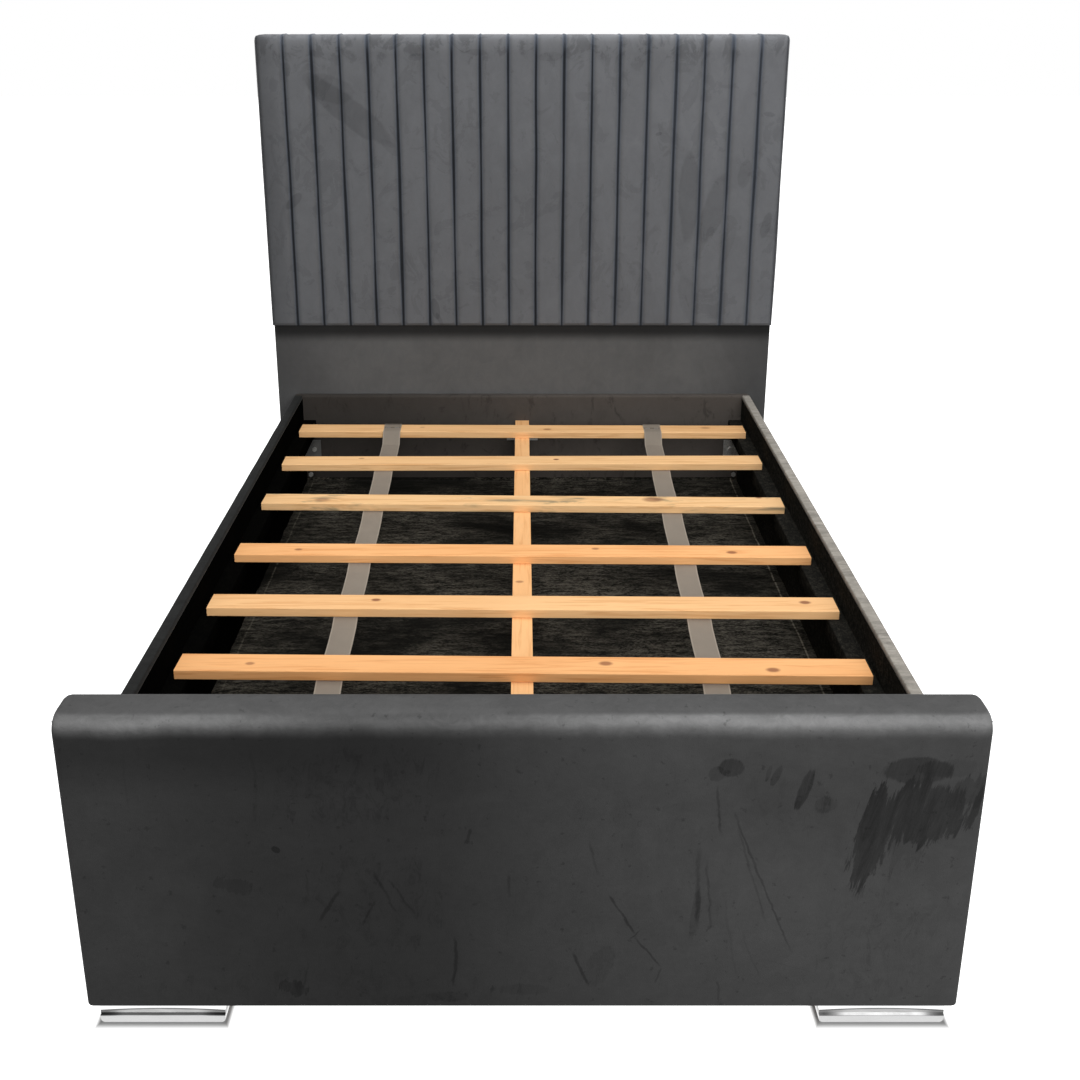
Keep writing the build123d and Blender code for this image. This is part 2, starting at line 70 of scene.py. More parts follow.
# unevenness of the upholstery: how far its swells are apart, and how high they are
channel_swell = (160 * MM, 1.4 * MM)
lower_swell = (220 * MM, 2.5 * MM)
foot_swell = (180 * MM, 1.8 * MM)
foot_dimples = (50 * MM, 0.5 * MM)
rail_side_swell = (110 * MM, 1.6 * MM)
rail_top_swell = (70 * MM, 1.8 * MM)
head_rail_swell = (150 * MM, 1.2 * MM)
head_rail_top_swell = (100 * MM, 1.2 * MM)
lining_pucker = (60 * MM, 3.2 * MM)
base_slack = (120 * MM, 3 * MM)
back_slack = (200 * MM, 1.6 * MM)
strap_twist = (50 * MM, 0.8 * MM)

RIGHT, LEFT = (1, 0, 0), (-1, 0, 0)
BACK, FRONT = (0, 1, 0), (0, -1, 0)
UP, DOWN = (0, 0, 1), (0, 0, -1)

pleat_low, pleat_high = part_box("headboard_channel_cover")
foot_low, foot_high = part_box("footboard_cover")
panel_low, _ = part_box("headboard_panel")
core_low, core_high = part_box("headboard_channel_foam")


# ---------------- shader maths
class Shade:
    """A number or colour inside a finish; sums and products of it add Math nodes."""

    def __init__(self, finish, socket):
        self.finish = finish
        self.socket = socket

    def maths(self, operation, *terms):
        return self.finish.node("ShaderNodeMath", {"operation": operation}, dict(enumerate(terms)))

    def __add__(self, other):
        return self.maths("ADD", self, other)

    __radd__ = __add__

    def __sub__(self, other):
        return self.maths("SUBTRACT", self, other)

    def __rsub__(self, other):
        return self.maths("SUBTRACT", other, self)

    def __mul__(self, other):
        return self.maths("MULTIPLY", self, other)

    __rmul__ = __mul__

    def __truediv__(self, other):
        return self.maths("DIVIDE", self, other)

    def __rtruediv__(self, other):
        return self.maths("DIVIDE", other, self)

    def __pow__(self, other):
        return self.maths("POWER", self, other)

    def __abs__(self):
        return self.maths("ABSOLUTE", self)


class Nodes:
    """A tree of shader nodes under construction."""

    def __init__(self, tree):
        self.tree = tree

    def node(self, kind, settings=None, inputs=None, output=0):
        made = self.tree.nodes.new(kind)
        for key, value in (settings or {}).items():
            setattr(made, key, value)
        for key, value in (inputs or {}).items():
            if isinstance(value, Shade):
                self.tree.links.new(value.socket, made.inputs[key])
            else:
                made.inputs[key].default_value = value
        return Shade(self, made.outputs[output])

    def place(self):
        return self.node("ShaderNodeTexCoord", output="Object")

    def axes(self, vector=None):
        """The three coordinates of a vector, or else of the place in the object."""
        parts = self.tree.nodes.new("ShaderNodeSeparateXYZ")
        self.tree.links.new((vector or self.place()).socket, parts.inputs[0])
        return [Shade(self, parts.outputs[axis]) for axis in range(3)]

    def scaled(self, vector, scale):
        return self.node("ShaderNodeVectorMath", {"operation": "MULTIPLY"}, {0: vector, 1: scale})

    def noise(self, vector, scale, detail=4, rough=0.55, bend=0):
        """Noise over a vector, over the place in the object, or over it scaled along each axis."""
        if isinstance(vector, tuple):
            vector = self.scaled(self.place(), vector)
        values = {"Vector": vector or self.place(), "Scale": scale, "Detail": detail}
        values |= {"Roughness": rough, "Distortion": bend}
        return self.node("ShaderNodeTexNoise", None, values)

    def fade(self, value, low, high, to_low=0, to_high=1):
        """A smooth step between two values."""
        values = {"Value": value, "From Min": low, "From Max": high}
        values |= {"To Min": to_low, "To Max": to_high}
        return self.node("ShaderNodeMapRange", {"interpolation_type": "SMOOTHSTEP"}, values)

    def blend(self, share, first, second):
        """A colour between two, by share."""
        ends = {0: share, 6: first, 7: second}
        return self.node("ShaderNodeMix", {"data_type": "RGBA"}, ends, output=2)

    def tint(self, colour, strength):
        """A colour made lighter or darker."""
        scaling = {0: colour, "Scale": strength}
        return self.node("ShaderNodeVectorMath", {"operation": "SCALE"}, scaling)

    def attribute(self, name):
        return self.node("ShaderNodeAttribute", {"attribute_name": name}, output="Fac")

    def looks(self):
        """Camera, glossy and transmission rays, each 1 where it is that ray that looks."""
        rays = self.tree.nodes.new("ShaderNodeLightPath")
        kinds = ("Is Camera Ray", "Is Glossy Ray", "Is Transmission Ray")
        return [Shade(self, rays.outputs[kind]) for kind in kinds]

    def wave(self, value, turns):
        """A wave that rises and falls that many times as value goes from 0 to 1."""
        angle = value * (2 * math.pi * turns)
        return 0.5 + 0.5 * self.node("ShaderNodeMath", {"operation": "SINE"}, {0: angle})


class Finish(Nodes):
    """A material under construction, with its Principled shader."""

    def __init__(self, name, roughness, metallic=0, specular=0.5):
        self.material = bpy.data.materials.new(name)
        self.material.use_nodes = True
        super().__init__(self.material.node_tree)
        self.shader = self.tree.nodes["Principled BSDF"]
        self.set("Roughness", roughness)
        self.set("Metallic", metallic)
        self.set("Specular IOR Level", specular)

    def set(self, socket, value):
        if isinstance(value, Shade):
            self.tree.links.new(value.socket, self.shader.inputs[socket])
        else:
            self.shader.inputs[socket].default_value = value

    def colour(self, value):
        self.set("Base Color", value)

    def relief(self, height, depth, strength=1):
        values = {"Height": height, "Distance": depth, "Strength": strength}
        self.set("Normal", self.node("ShaderNodeBump", None, values))


def rgb(red, green, blue):
    return (red, green, blue, 1)


# ---------------- velvet
def velvet(name, pile, marks, sheen=0.20, gloss=0.20, grain=0.24):
    """Short-pile velvet: soft sheen, and a nap brushed a little lighter and darker in places."""
    finish = Finish(name, 0.85, specular=gloss)
    cloudy = finish.noise(None, 2.6, 5, 0.6, 0.6)
    mottled = finish.noise((1, 1, 0.7), 28, 5, 0.75, 0.6)
    swathe = finish.fade(finish.noise((1, 1, 0.5), 3, 2, 0.5, 1.5), 0.54, 0.60)
    # each cover's marks bring its nap marks and its painted light and shade
    light = (0.80 + 0.32 * cloudy + 0.34 * (mottled - 0.5)) * (1 - 0.05 * swathe) * marks(finish)
    fine = finish.noise(None, 900, 2, 0.6)
    light = light * (1 - 0.5 * grain + grain * fine)
    finish.colour(finish.tint(pile(finish) if callable(pile) else pile, light))
    finish.set("Sheen Weight", sheen)
    finish.set("Sheen Roughness", 0.45)
    finish.set("Sheen Tint", rgb(0.5, 0.5, 0.5))
    finish.relief(fine + 0.8 * finish.noise(None, 220, 3, 0.6), 0.0006, 0.6)
    return finish.material


def in_metres(*rows):
    """Rows whose first four numbers are lengths, given in millimetres."""
    return [[length * MM for length in row[:4]] + list(row[4:]) for row in rows]


def swept(finish, x, z, width, height, lean, frayed):
    """How much a point lies in a leaning oval swept into the upright pile."""
    along, _, up = finish.axes()
    rise = (up - z) / height
    reach = (along - x - lean * (up - z)) / width
    spread = (reach * reach + rise * rise) ** 0.5 + frayed
    return 1 - finish.fade(spread, 0.80, 1)


def drawn(finish, x, z, length, lean, width, wander):
    """How much a point lies on a thin leaning line drawn through the pile."""
    along, _, up = finish.axes()
    off = abs(along - x - lean * (up - z) + wander)
    across = 1 - finish.fade(off, 0.2 * width, 1.2 * width)
    return across * (1 - finish.fade(abs(up - z), 0.30 * length, 0.5 * length))


head_prints = in_metres(
    # x, z, half width, half height, lean, depth
    (-500, 1290, 64, 112, -1.1, 0.19),
    (-548, 1350, 68, 46, -0.6, 0.13),
    (-382, 1185, 22, 30, -0.8, 0.08),
    (490, 1045, 34, 140, 0, 0.17),
    (565, 1005, 36, 112, 0.25, 0.16),
    (650, 1110, 22, 48, 0.1, 0.12),
    (610, 890, 14, 70, 0.35, 0.09),
    (-672, 1030, 20, 26, 0.7, 0.2),
    (-655, 1125, 8, 40, 0.1, 0.14),
    (-262, 705, 14, 36, -0.15, 0.2),
    (-250, 672, 8, 24, -0.4, 0.16),
    (-700, 980, 20, 60, 0.2, 0.08),
    (-670, 1405, 12, 22, 0, 0.14),
    (-450, 720, 40, 20, 0.9, 0.07),
    (180, 1330, 30, 14, -0.8, 0.09),
    (395, 1225, 10, 6, 0.6, 0.2),
    (300, 730, 30, 50, 0.2, 0.08),
    (500, 740, 32, 80, -0.2, 0.09),
    (712, 1280, 18, 8, -0.7, 0.16),
    (722, 960, 16, 40, 0.2, 0.16),
    (-300, 1440, 26, 12, 0.4, 0.13),
    (-130, 1452, 32, 10, -0.5, 0.13),
    (80, 1440, 40, 14, 0.5, 0.09),
)


def stitched_pile(finish):
    """Slate grey, bluer where the painted seam shade lies."""
    depth = finish.fade(finish.attribute("seam"), 0.45, 0.85)
    return finish.blend(depth, rgb(0.142, 0.147, 0.157), rgb(0.124, 0.143, 0.176))


def channel_marks(finish):
    """Painted shade in and beside the stitched seams, where the pile is crushed too, and prints of
    hands; painted light towards the top and the right, painted shade along the left edge.
    """
    side, _, up = finish.axes()
    depth = finish.attribute("seam")
    run = finish.fade(up, 1.49, 1.44, 0.45, 1)
    # painted shade in the stitched seams, over pile crushed there; weaker at the top edge and towards
    # the right
    crushed = 1 - finish.fade(depth, 0.66, 0.92) * run * finish.fade(side, 0, 0.6, 0.86, 0.66)
    # painted shade on the channel either side of each seam
    beside = 1 - 0.13 * finish.fade(depth, 0, 0.5)
    # painted light: the channels lighter towards the top, most over the top edge
    rise = 0.93 + 0.08 * finish.fade(up, 1, 1.42) + 0.30 * finish.fade(up, 1.445, 1.49)
    frayed = 0.55 * (finish.noise(None, 17, 3, 0.6) - 0.5)
    pressed = 0
    for x, z, width, height, lean, dark in head_prints:
        pressed = pressed + dark * swept(finish, x, z, width, height, lean, frayed)
    rubbed = finish.noise((1, 1, 0.8), 13, 5, 0.7, 1)
    pressed = pressed + 0.10 * finish.fade(rubbed, 0.555, 0.58)
    pressed = pressed + 0.16 * finish.fade(rubbed, 0.50, 0.56) * finish.fade(up, 1.40, 1.47)
    # painted shade along the left edge; the last factor below is painted light growing towards the
    # right
    outer = 1 - 0.30 * finish.fade(side, -0.66, -0.76)
    return crushed * beside * rise * outer * (1 - pressed) * (1 + 0.08 * side)


def under_channels(finish):
    """The plain panel, with a painted shadow under the overhang of the channels and painted shade
    towards its ends, over a rubbed nap.
    """
    side, _, up = finish.axes()
    # painted shadow under the overhang of the channels
    painted_lee_shade = finish.fade(up, pleat_low.z - 0.060, pleat_low.z - 0.020)
    rubbed = finish.noise((1, 1, 1.6), 7, 4, 0.6, 0.8)
    # painted shade towards both ends of the panel
    ends = finish.fade(abs(side), 0.50, 0.76)
    return (1 - 0.82 * painted_lee_shade) * (1 - 0.40 * ends) * (0.86 + 0.28 * rubbed)


hand_sweeps = in_metres(
    # x, height below the top, half width, half height, lean, depth, fraying
    (541, 214, 36, 96, 0.22, 0.34, 2.4),
    (590, 196, 36, 78, 0.12, 0.12, 2.6),
    (610, 168, 92, 58, 0.2, 0.3, 2.4),
    (676, 128, 34, 34, 0.3, 0.22, 2),
    (597, 90, 58, 26, 0, 0.26, 0.7),
    (650, 86, 50, 18, 0.3, 0.12, 1.8),
    (316, 85, 21, 18, 0, 0.27, 0.6),
    (294, 96, 13, 14, 0, 0.16, 0.9),
    (428, 122, 11, 40, 0.25, 0.28, 0.9),
    (384, 98, 7, 20, 0.3, 0.2, 0.8),
    (372, 94, 4, 16, 0.2, 0.16, 0.8),
    (462, 150, 20, 16, 0, 0.14, 1.4),
    (272, 352, 9, 50, 0.04, 0.14, 2.4),
    (-380, 232, 7, 7, -0.3, 0.46, 0.9),
    (-365, 498, 22, 18, -0.5, 0.22, 2.4),
    (-448, 300, 34, 16, -1.2, 0.16, 3),
    (0, 500, 60, 12, 0, 0.12, 1.6),
    (-120, 515, 40, 12, 0, 0.14, 1.4),
    (120, 456, 28, 40, 0.3, 0.1, 1.6),
)
drawn_lines = in_metres(
    # x, height below the top, length, width, lean, depth
    (301, 160, 104, 2.6, -0.1, 0.26),
    (374, 295, 313, 2.8, -0.4, 0.26),
    (357, 280, 220, 2.6, -0.31, 0.18),
    (364, 431, 110, 2.4, -0.35, 0.14),
    (275, 300, 170, 5, -0.04, 0.2),
    (293, 315, 150, 2.8, -0.1, 0.2),
    (330, 400, 190, 3, -0.16, 0.12),
    (154, 353, 90, 3, -0.5, 0.28),
    (198, 426, 68, 3, -0.76, 0.28),
    (217, 473, 36, 3, 0.28, 0.22),
    (176, 392, 22, 2.4, 0.8, 0.22),
    (95, 458, 76, 3.4, -0.4, 0.32),
    (110, 250, 70, 3, -0.2, 0.18),
    (316, 503, 52, 3, -0.12, 0.22),
    (430, 455, 30, 3, -3.2, 0.14),
    (-107, 445, 112, 3.6, 0.07, 0.38),
    (-302, 337, 64, 4.2, 0.56, 0.34),
    (-83, 207, 34, 4.4, 0.2, 0.32),
    (-406, 120, 160, 4, 0, 0.14),
    (-600, 110, 120, 3, 0.02, 0.12),
    (-215, 310, 90, 3.4, -0.45, 0.22),
    (-190, 318, 80, 3, -0.6, 0.2),
    (-240, 350, 60, 3, 0.4, 0.2),
    (-18, 300, 50, 3.4, -0.05, 0.2),
    (-345, 470, 60, 3, 0.25, 0.16),
)
crushed_patches = in_metres(
    # x, height below the top, half width, half height, depth
    (-240, 335, 125, 105, 0.17),
    (-255, 120, 150, 80, 0.2),
    (400, 150, 80, 60, 0.12),
    (-300, 500, 300, 45, 0.14),
    (560, 400, 110, 120, 0.13),
    (150, 300, 220, 190, 0.09),
)


def foot_marks(finish):
    """Hands and brushes have swept the footboard's pile to and fro. Over the rounded top edge and the
    flat top lies a painted highlight, under that edge painted shade, and over the front painted light
    that grows towards the right.
    """
    top = foot_high.z
    side, inward, up = finish.axes()
    strokes = finish.node("ShaderNodeCombineXYZ", None, {0: side - 0.20 * up, 2: 0.14 * up})
    torn = finish.noise(strokes, 52, 5, 0.75, 0.4) - 0.5
    wander = 0.020 * (finish.noise(None, 13, 4, 0.65) - 0.5)
    crushed = finish.noise((1, 1, 0.55), 44, 5, 0.8, 1)
    crushed = finish.fade(crushed, 0.43, 0.64)
    dark = 0
    for x, down, width, height, lean, depth, fray in hand_sweeps:
        dark = dark + depth * swept(finish, x, top - down, width, height, lean, fray * torn)
    for x, down, length, width, lean, depth in drawn_lines:
        line = drawn(finish, x, top - down, length, lean, width, wander)
        dark = dark + depth * (0.9 + 2 * torn) * line
    for x, down, width, height, depth in crushed_patches:
        dark = dark + depth * crushed * swept(finish, x, top - down, width, height, 0, 2 * torn)
    dark = finish.fade(dark, 0, 0.40, 0, 0.56) * (1 - 1.8 * torn)
    dark = dark * finish.fade(inward, foot_low.y + 0.02, foot_low.y + 0.05, 1, 0.15)
    uneven = 0.018 * (finish.noise((1, 0, 0.3), 9, 4, 0.6) - 0.5)
    # from here up, over the rounded top edge, the painted highlight takes over from the front
    over = finish.fade(up + uneven, top - 0.037, top - 0.008)
    combed = finish.noise((1, 1, 2.2), 30, 5, 0.7, 1.6)
    # painted highlight: a brighter line along the crest of the edge
    painted_crest_highlight = finish.fade(abs(up + uneven - (top - 0.012)), 0, 0.012, 0.9, 0)
    # the painted highlight's strength from end to end, times a soft noise
    glow = finish.fade(side, -0.52, -0.25, 1.60, 0.80) + finish.fade(side, -0.2, 0.3)
    glow = glow * (0.80 + 0.40 * finish.noise((1, 0.2, 0.2), 3.5, 3))
    painted_roll_light = (2.5 + 2.2 * (combed - 0.45) + painted_crest_highlight) * glow
    # painted light on the flat top
    painted_top_light = 2.7 + 1.2 * (combed - 0.5)
    painted_roll_light = painted_roll_light + finish.fade(up, top - 0.005, top - 0.001) * (painted_top_light - painted_roll_light)
    # painted shade under the rounded top edge, mostly on the left
    painted_lee_shade = finish.fade(up + uneven, top - 0.15, top - 0.06) * finish.fade(side, -0.25, 0, 0.38, -0.08)
    # painted light over the front, growing towards the right, at the left end, and lower down on the
    # right
    across = finish.fade(side, -0.22, 0.26, 0.74, 1.54) + 0.42 * finish.fade(side, -0.36, -0.66)
    across = across + 0.34 * finish.fade(side, 0.1, 0.5) * finish.fade(up, top - 0.15, top - 0.32)
    across = across * (1 + 0.24 * (combed - 0.5))
    clouds = 0.82 + 0.36 * finish.noise((1, 1, 1.3), 9, 6, 0.7, 0.9)
    specks = 1 - 0.30 * finish.fade(finish.noise(None, 70, 3, 0.6), 0.63, 0.72)
    front = (1 - painted_lee_shade) * across
    return (front + over * (painted_roll_light - front)) * (1 - dark) * clouds * specks


def head_rail_marks(finish):
    """Painted shade darkens the panel inside the head rail towards the left; dark smudges lie on it."""
    side, _, _ = finish.axes()
    smudged = finish.noise((1, 1, 0.5), 24, 4, 0.7, 1)
    # painted shade towards the left, times the dark smudges
    return finish.fade(side, -0.6, 0.3, 0.50, 1) * (1 - 0.30 * finish.fade(smudged, 0.55, 0.68))


def painted_rail_top_light(tone):
    """The pile over the top of a rail takes a painted tone, in ridges where its staples gather it: a
    tone above 1 is a painted highlight, below 1 painted shade.
    """

    def marks(finish):
        _, _, up = finish.axes()
        over = finish.fade(up, 0.4185, 0.4270)
        painted_ridge_light = finish.noise((0.3, 1, 0.3), 46, 4, 0.7, 0.8)
        fluff = finish.noise(None, 320, 3, 0.7)
        return 1 + over * (tone * (1.8 * painted_ridge_light + 0.6 * fluff - 0.2) - 1)

    return marks


# ---------------- pine
def pine(name, run, warmth, knots=(), stain=0):
    """Planed softwood with its grain along one axis and a few knots, each (x, y, radius, redness)."""
    finish = Finish(name, 0.62, specular=0.3)
    scale = [1, 1, 1]
    scale[run] = 0.045
    x, y, z = finish.axes()
    bow = 0
    hearts = 0
    for knot_x, knot_y, radius, redness in knots:
        dx = (x - knot_x) / (2.6 * radius)
        dy = (y - knot_y) / (1.3 * radius)
        near = 1 / (1 + (dx * dx + dy * dy) ** 2)
        bow = bow + 0.9 * radius * near * (y - knot_y) / (abs(y - knot_y) + 0.004)
        ring = ((x - knot_x) ** 2 + (1.6 * (y - knot_y)) ** 2) ** 0.5 / radius
        hearts = hearts + redness * (1 - finish.fade(ring, 0.55, 1.35))
    bowed = finish.node("ShaderNodeCombineXYZ", None, {0: x, 1: y - bow, 2: z})
    turned = finish.scaled(bowed, scale)
    rings = finish.noise(turned, 120, 3, 0.55, 0.6)
    fibres = finish.noise(turned, 620, 3, 0.6)
    clouds = finish.noise(tuple(0.35 + 2.2 * part for part in scale), 4, 3)
    late = finish.fade(rings, 0.50, 0.66)
    pale = finish.blend(warmth, rgb(0.86, 0.56, 0.28), rgb(0.90, 0.46, 0.185))
    deep = finish.blend(warmth, rgb(0.70, 0.40, 0.17), rgb(0.74, 0.31, 0.10))
    wood = finish.blend(0.72 * late, pale, deep)
    wood = finish.blend(finish.fade(clouds, 0.42, 0.72, 0, 0.38), wood, deep)
    wood = finish.tint(wood, 0.90 + 0.20 * fibres)
    if stain:
        blot = finish.noise((3, 14, 14), 1.6, 4, 0.65, 0.5)
        grey = stain * finish.fade(blot, 0.50, 0.66)
        wood = finish.blend(grey, wood, rgb(0.17, 0.16, 0.10))
    if knots:
        wood = finish.blend(hearts, wood, rgb(0.20, 0.060, 0.022))
    finish.colour(wood)
    finish.set("Roughness", 0.50 + 0.25 * fibres)
    finish.relief(fibres + 0.6 * rings, 0.0004, 0.5)
    return finish.material


def raw_board():
    finish = Finish("raw_board", 0.85)
    chips = finish.noise((0.4, 1, 1), 160, 4, 0.6)
    grain = finish.noise((0.06, 1, 1), 60, 3, 0.6)
    colour = finish.blend(0.6 * chips + 0.4 * grain, rgb(0.36, 0.24, 0.13), rgb(0.66, 0.50, 0.32))
    finish.colour(colour)
    finish.relief(chips, 0.0006, 0.6)
    return finish.material


# ---------------- linings, webbing, metal
def black_cloth(name, fleck, lift=0, black=0.010):
    """Spun-bonded black cloth: matted fibres that catch a little light."""
    finish = Finish(name, 0.95, specular=0)
    fibres = finish.noise(None, 420, 3, 0.75)
    clumps = finish.noise(None, 90, 4, 0.7)
    dust = finish.noise(None, 5, 4, 0.6, 0.5)
    catch = finish.fade(0.55 * fibres + 0.45 * clumps, 0.46, 0.66)
    bright = lift + fleck * catch * (0.45 + 1.1 * dust)
    finish.colour(finish.blend(bright, rgb(black, black, 0.9 * black), rgb(0.30, 0.27, 0.21)))
    finish.relief(0.5 * fibres + clumps, 0.0015, 0.8)
    return finish.material


def dust_cloth():
    """The cloth under the slats, with a torn pale edge along each side."""
    finish = Finish("dust_cloth", 0.95, specular=0.05)
    fibres = finish.noise((0.4, 1.5, 1), 300, 4, 0.8)
    clumps = finish.noise((0.35, 1.4, 1), 70, 4, 0.7)
    dust = finish.noise((0.9, 1.6, 1), 3, 4, 0.6, 0.5)
    catch = finish.fade(0.6 * fibres + 0.4 * clumps, 0.43, 0.62)
    side, _, _ = finish.axes()
    torn = 0.650 + 0.014 * finish.noise((0, 1, 0), 4, 5, 0.7)
    off = abs(abs(side) - torn)
    edge = (1 - finish.fade(off, 0.0008, 0.003)) * finish.fade(clumps, 0.38, 0.55)
    bright = 0.46 * catch * finish.fade(dust, 0.34, 0.62, 0.06, 1)
    colour = finish.blend(bright, rgb(0.006, 0.006, 0.005), rgb(0.26, 0.235, 0.19))
    edge = edge * finish.fade(side, -0.4, 0.4, 0.16, 0.50)
    finish.colour(finish.blend(edge, colour, rgb(0.42, 0.38, 0.30)))
    finish.relief(0.5 * fibres + clumps, 0.0020, 0.9)
    return finish.material


def webbing():
    """Grey upholstery webbing: a fine plain weave with lighter selvedges, on the strap's own UV map."""
    finish = Finish("grey_webbing", 0.8, specular=0.2)
    across, along, _ = finish.axes(finish.node("ShaderNodeTexCoord", output="UV"))
    warp = finish.wave(across, 42)
    weft = finish.wave(along, 1300)
    weave = 0.5 * warp + 0.5 * weft
    worn = finish.noise(None, 14, 4, 0.6)
    edge = finish.fade(abs(across - 0.5), 0.43, 0.47)
    cloth = finish.tint((0.235, 0.200, 0.162), 0.80 + 0.22 * weave + 0.25 * worn)
    cloth = finish.blend(0.5 * edge, cloth, rgb(0.40, 0.35, 0.29))
    finish.colour(finish.tint(cloth, finish.fade(along, 0, 0.022, 0.25, 1)))
    finish.relief(weave, 0.0004, 0.7)
    return finish.material


def chrome():
    finish = Finish("bright_chrome", 0.10, metallic=1)
    smears = finish.noise((1, 1, 3), 16, 4, 0.6)
    side, _, up = finish.axes()
    # painted reflections on the chrome: a dark arch across the front with a darker rim along its top, a
    # dimmer band below 12 mm and a brighter one above; the smears are real
    along = abs(abs(side) - 0.5845) / 0.1
    painted_reflection_arch = 0.0250 - 0.004 * (along * along)
    dark = finish.fade(up, 0.0118, 0.0126) * finish.fade(up - painted_reflection_arch, 0, 0.002, 1, 0)
    painted_reflection_streaks = finish.noise((1, 1, 9), 30, 4, 0.6)
    painted_reflection_rim = 1 - finish.fade(abs(up - painted_reflection_arch), 0, 0.0022)
    dark = dark * (0.44 + 0.34 * finish.fade(along, 0.55, 0.95) + 0.4 * painted_reflection_streaks + 0.45 * painted_reflection_rim)
    bright = finish.blend(smears, rgb(0.54, 0.54, 0.54), rgb(0.63, 0.63, 0.63))
    bright = finish.tint(bright, finish.fade(up, 0.0118, 0.0126, 0.72, 1.25))
    finish.colour(finish.blend(dark, bright, rgb(0.10, 0.10, 0.10)))
    finish.set("Roughness", 0.05 + 0.12 * smears)
    return finish.material


def zinc(name, roughness, tone):
    finish = Finish(name, roughness, metallic=0.6)
    spangle = finish.node(
        "ShaderNodeTexVoronoi", None, {"Vector": finish.place(), "Scale": 260}, output="Distance"
    )
    rubbed = finish.noise(None, 60, 4, 0.6)
    dark = rgb(0.55 * tone, 0.54 * tone, 0.50 * tone)
    finish.colour(finish.blend(rubbed, dark, rgb(tone, tone, 0.97 * tone)))
    finish.set("Roughness", roughness + 0.20 * (spangle - 0.3))
    return finish.material


def moulded_plastic():
    finish = Finish("moulded_plastic", 0.5)
    grain = finish.noise(None, 700, 2)
    finish.colour(finish.blend(grain, rgb(0.018, 0.018, 0.018), rgb(0.040, 0.040, 0.040)))
    finish.relief(grain, 0.0002, 0.6)
    return finish.material


headboard_velvet = velvet("headboard_velvet", stitched_pile, channel_marks)
# The lower panel, the footboard and the head rail take the channels' grey velvet darker: painted shade;
# the head rail's is warmer too.
lower_velvet = velvet("lower_headboard_velvet", (0.108, 0.108, 0.108), under_channels)
foot_velvet = velvet("footboard_velvet", (0.0288, 0.0288, 0.0288), foot_marks, sheen=0.02, gloss=0.10)
# The two rails are copies of one velvet: the left one's top in painted shade, the right one's top in
# painted highlight, with a lighter, warmer pile.
left_rail_velvet = velvet("left_rail_velvet", (0.040, 0.041, 0.040), painted_rail_top_light(0.30), 0.05, 0.1, 0.6)
right_rail_velvet = velvet("right_rail_velvet", (0.056, 0.052, 0.046), painted_rail_top_light(5.4), 0.10, 0.1, 0.4)
head_rail_velvet = velvet("head_rail_velvet", (0.082, 0.072, 0.064), head_rail_marks, 0.05, 0.1)
# The left lining is the black cloth in painted shade: blacker, with almost no flecks.
painted_shade_left_lining = black_cloth("left_side_lining", 0.005, black=0.0015)
right_lining = black_cloth("right_side_lining", 0.10)
back_lining = black_cloth("back_lining", 0.08, 0.01)
base_lining = dust_cloth()
strap_webbing = webbing()
board = raw_board()
bright_chrome = chrome()
bright_zinc = zinc("bright_zinc", 0.28, 0.75)
wire_zinc = zinc("staple_zinc", 0.35, 0.65)
# a darker copy of the zinc in painted shade, for the bracket in the left head corner
painted_shade_zinc = zinc("painted_shade_zinc", 0.55, 0.20)
plastic = moulded_plastic()


# ---------------- modelling helpers
def take(piece):
    """Make a piece the one that the next steps work on."""
    bpy.ops.object.select_all(action="DESELECT")
    piece.select_set(True)
    bpy.context.view_layer.objects.active = piece


def block_net(name, low, high, open_to, cuts):
    """The sides of a block between two corners, less those it is open to, left in edit mode.

    Its edges are divided by cuts, each an axis and a number.
    """
    bpy.ops.mesh.primitive_cube_add(size=1)
    piece = bpy.context.object
    piece.name = name
    bpy.ops.object.mode_set(mode="EDIT")
    bpy.ops.mesh.select_all(action="SELECT")
    bpy.ops.transform.resize(value=high - low)
    bpy.ops.transform.translate(value=(low + high) / 2)
    for normal in open_to:
        drop_faces(piece, lambda middle, facing: facing.dot(Vector(normal)) > 0.99)
    for axis, number in cuts:
        cut_along(piece, axis, number)
    return piece


def drop_faces(piece, test):
    """Take off the faces whose middle and normal pass a test, in edit mode."""
    bpy.ops.mesh.select_mode(type="FACE")
    bpy.ops.mesh.select_all(action="DESELECT")
    net = bmesh.from_edit_mesh(piece.data)
    for face in net.faces:
        face.select_set(test(face.calc_center_median(), face.normal))
    bmesh.update_edit_mesh(piece.data)
    bpy.ops.mesh.delete(type="FACE")


def pick_edges(piece, test):
    """Select the edges whose middle and direction pass a test, in edit mode."""
    bpy.ops.mesh.select_mode(type="EDGE")
    bpy.ops.mesh.select_all(action="DESELECT")
    net = bmesh.from_edit_mesh(piece.data)
    for edge in net.edges:
        first, last = (vertex.co for vertex in edge.verts)
        edge.select_set(test((first + last) / 2, (last - first).normalized()))
    bmesh.update_edit_mesh(piece.data)


def cut_along(piece, axis, cuts):
    """Divide every edge that runs along an axis."""
    pick_edges(piece, lambda middle, run: abs(run[axis]) > 0.99)
    bpy.ops.mesh.subdivide(number_cuts=cuts)


def slice_at(axis, place):
    """Cut the whole net through at a place on an axis."""
    facing = Vector((0, 0, 0))
    facing[axis] = 1
    bpy.ops.mesh.select_all(action="SELECT")
    bpy.ops.mesh.bisect(plane_co=facing * place, plane_no=facing)




def weld(piece):
    """Join the vertices of a piece that have come to the same place."""
    take(piece)
    bpy.ops.object.mode_set(mode="EDIT")
    bpy.ops.mesh.select_all(action="SELECT")
    bpy.ops.mesh.remove_doubles(threshold=weld_reach)
    bpy.ops.mesh.dissolve_degenerate(threshold=weld_reach)
    bpy.ops.object.mode_set(mode="OBJECT")


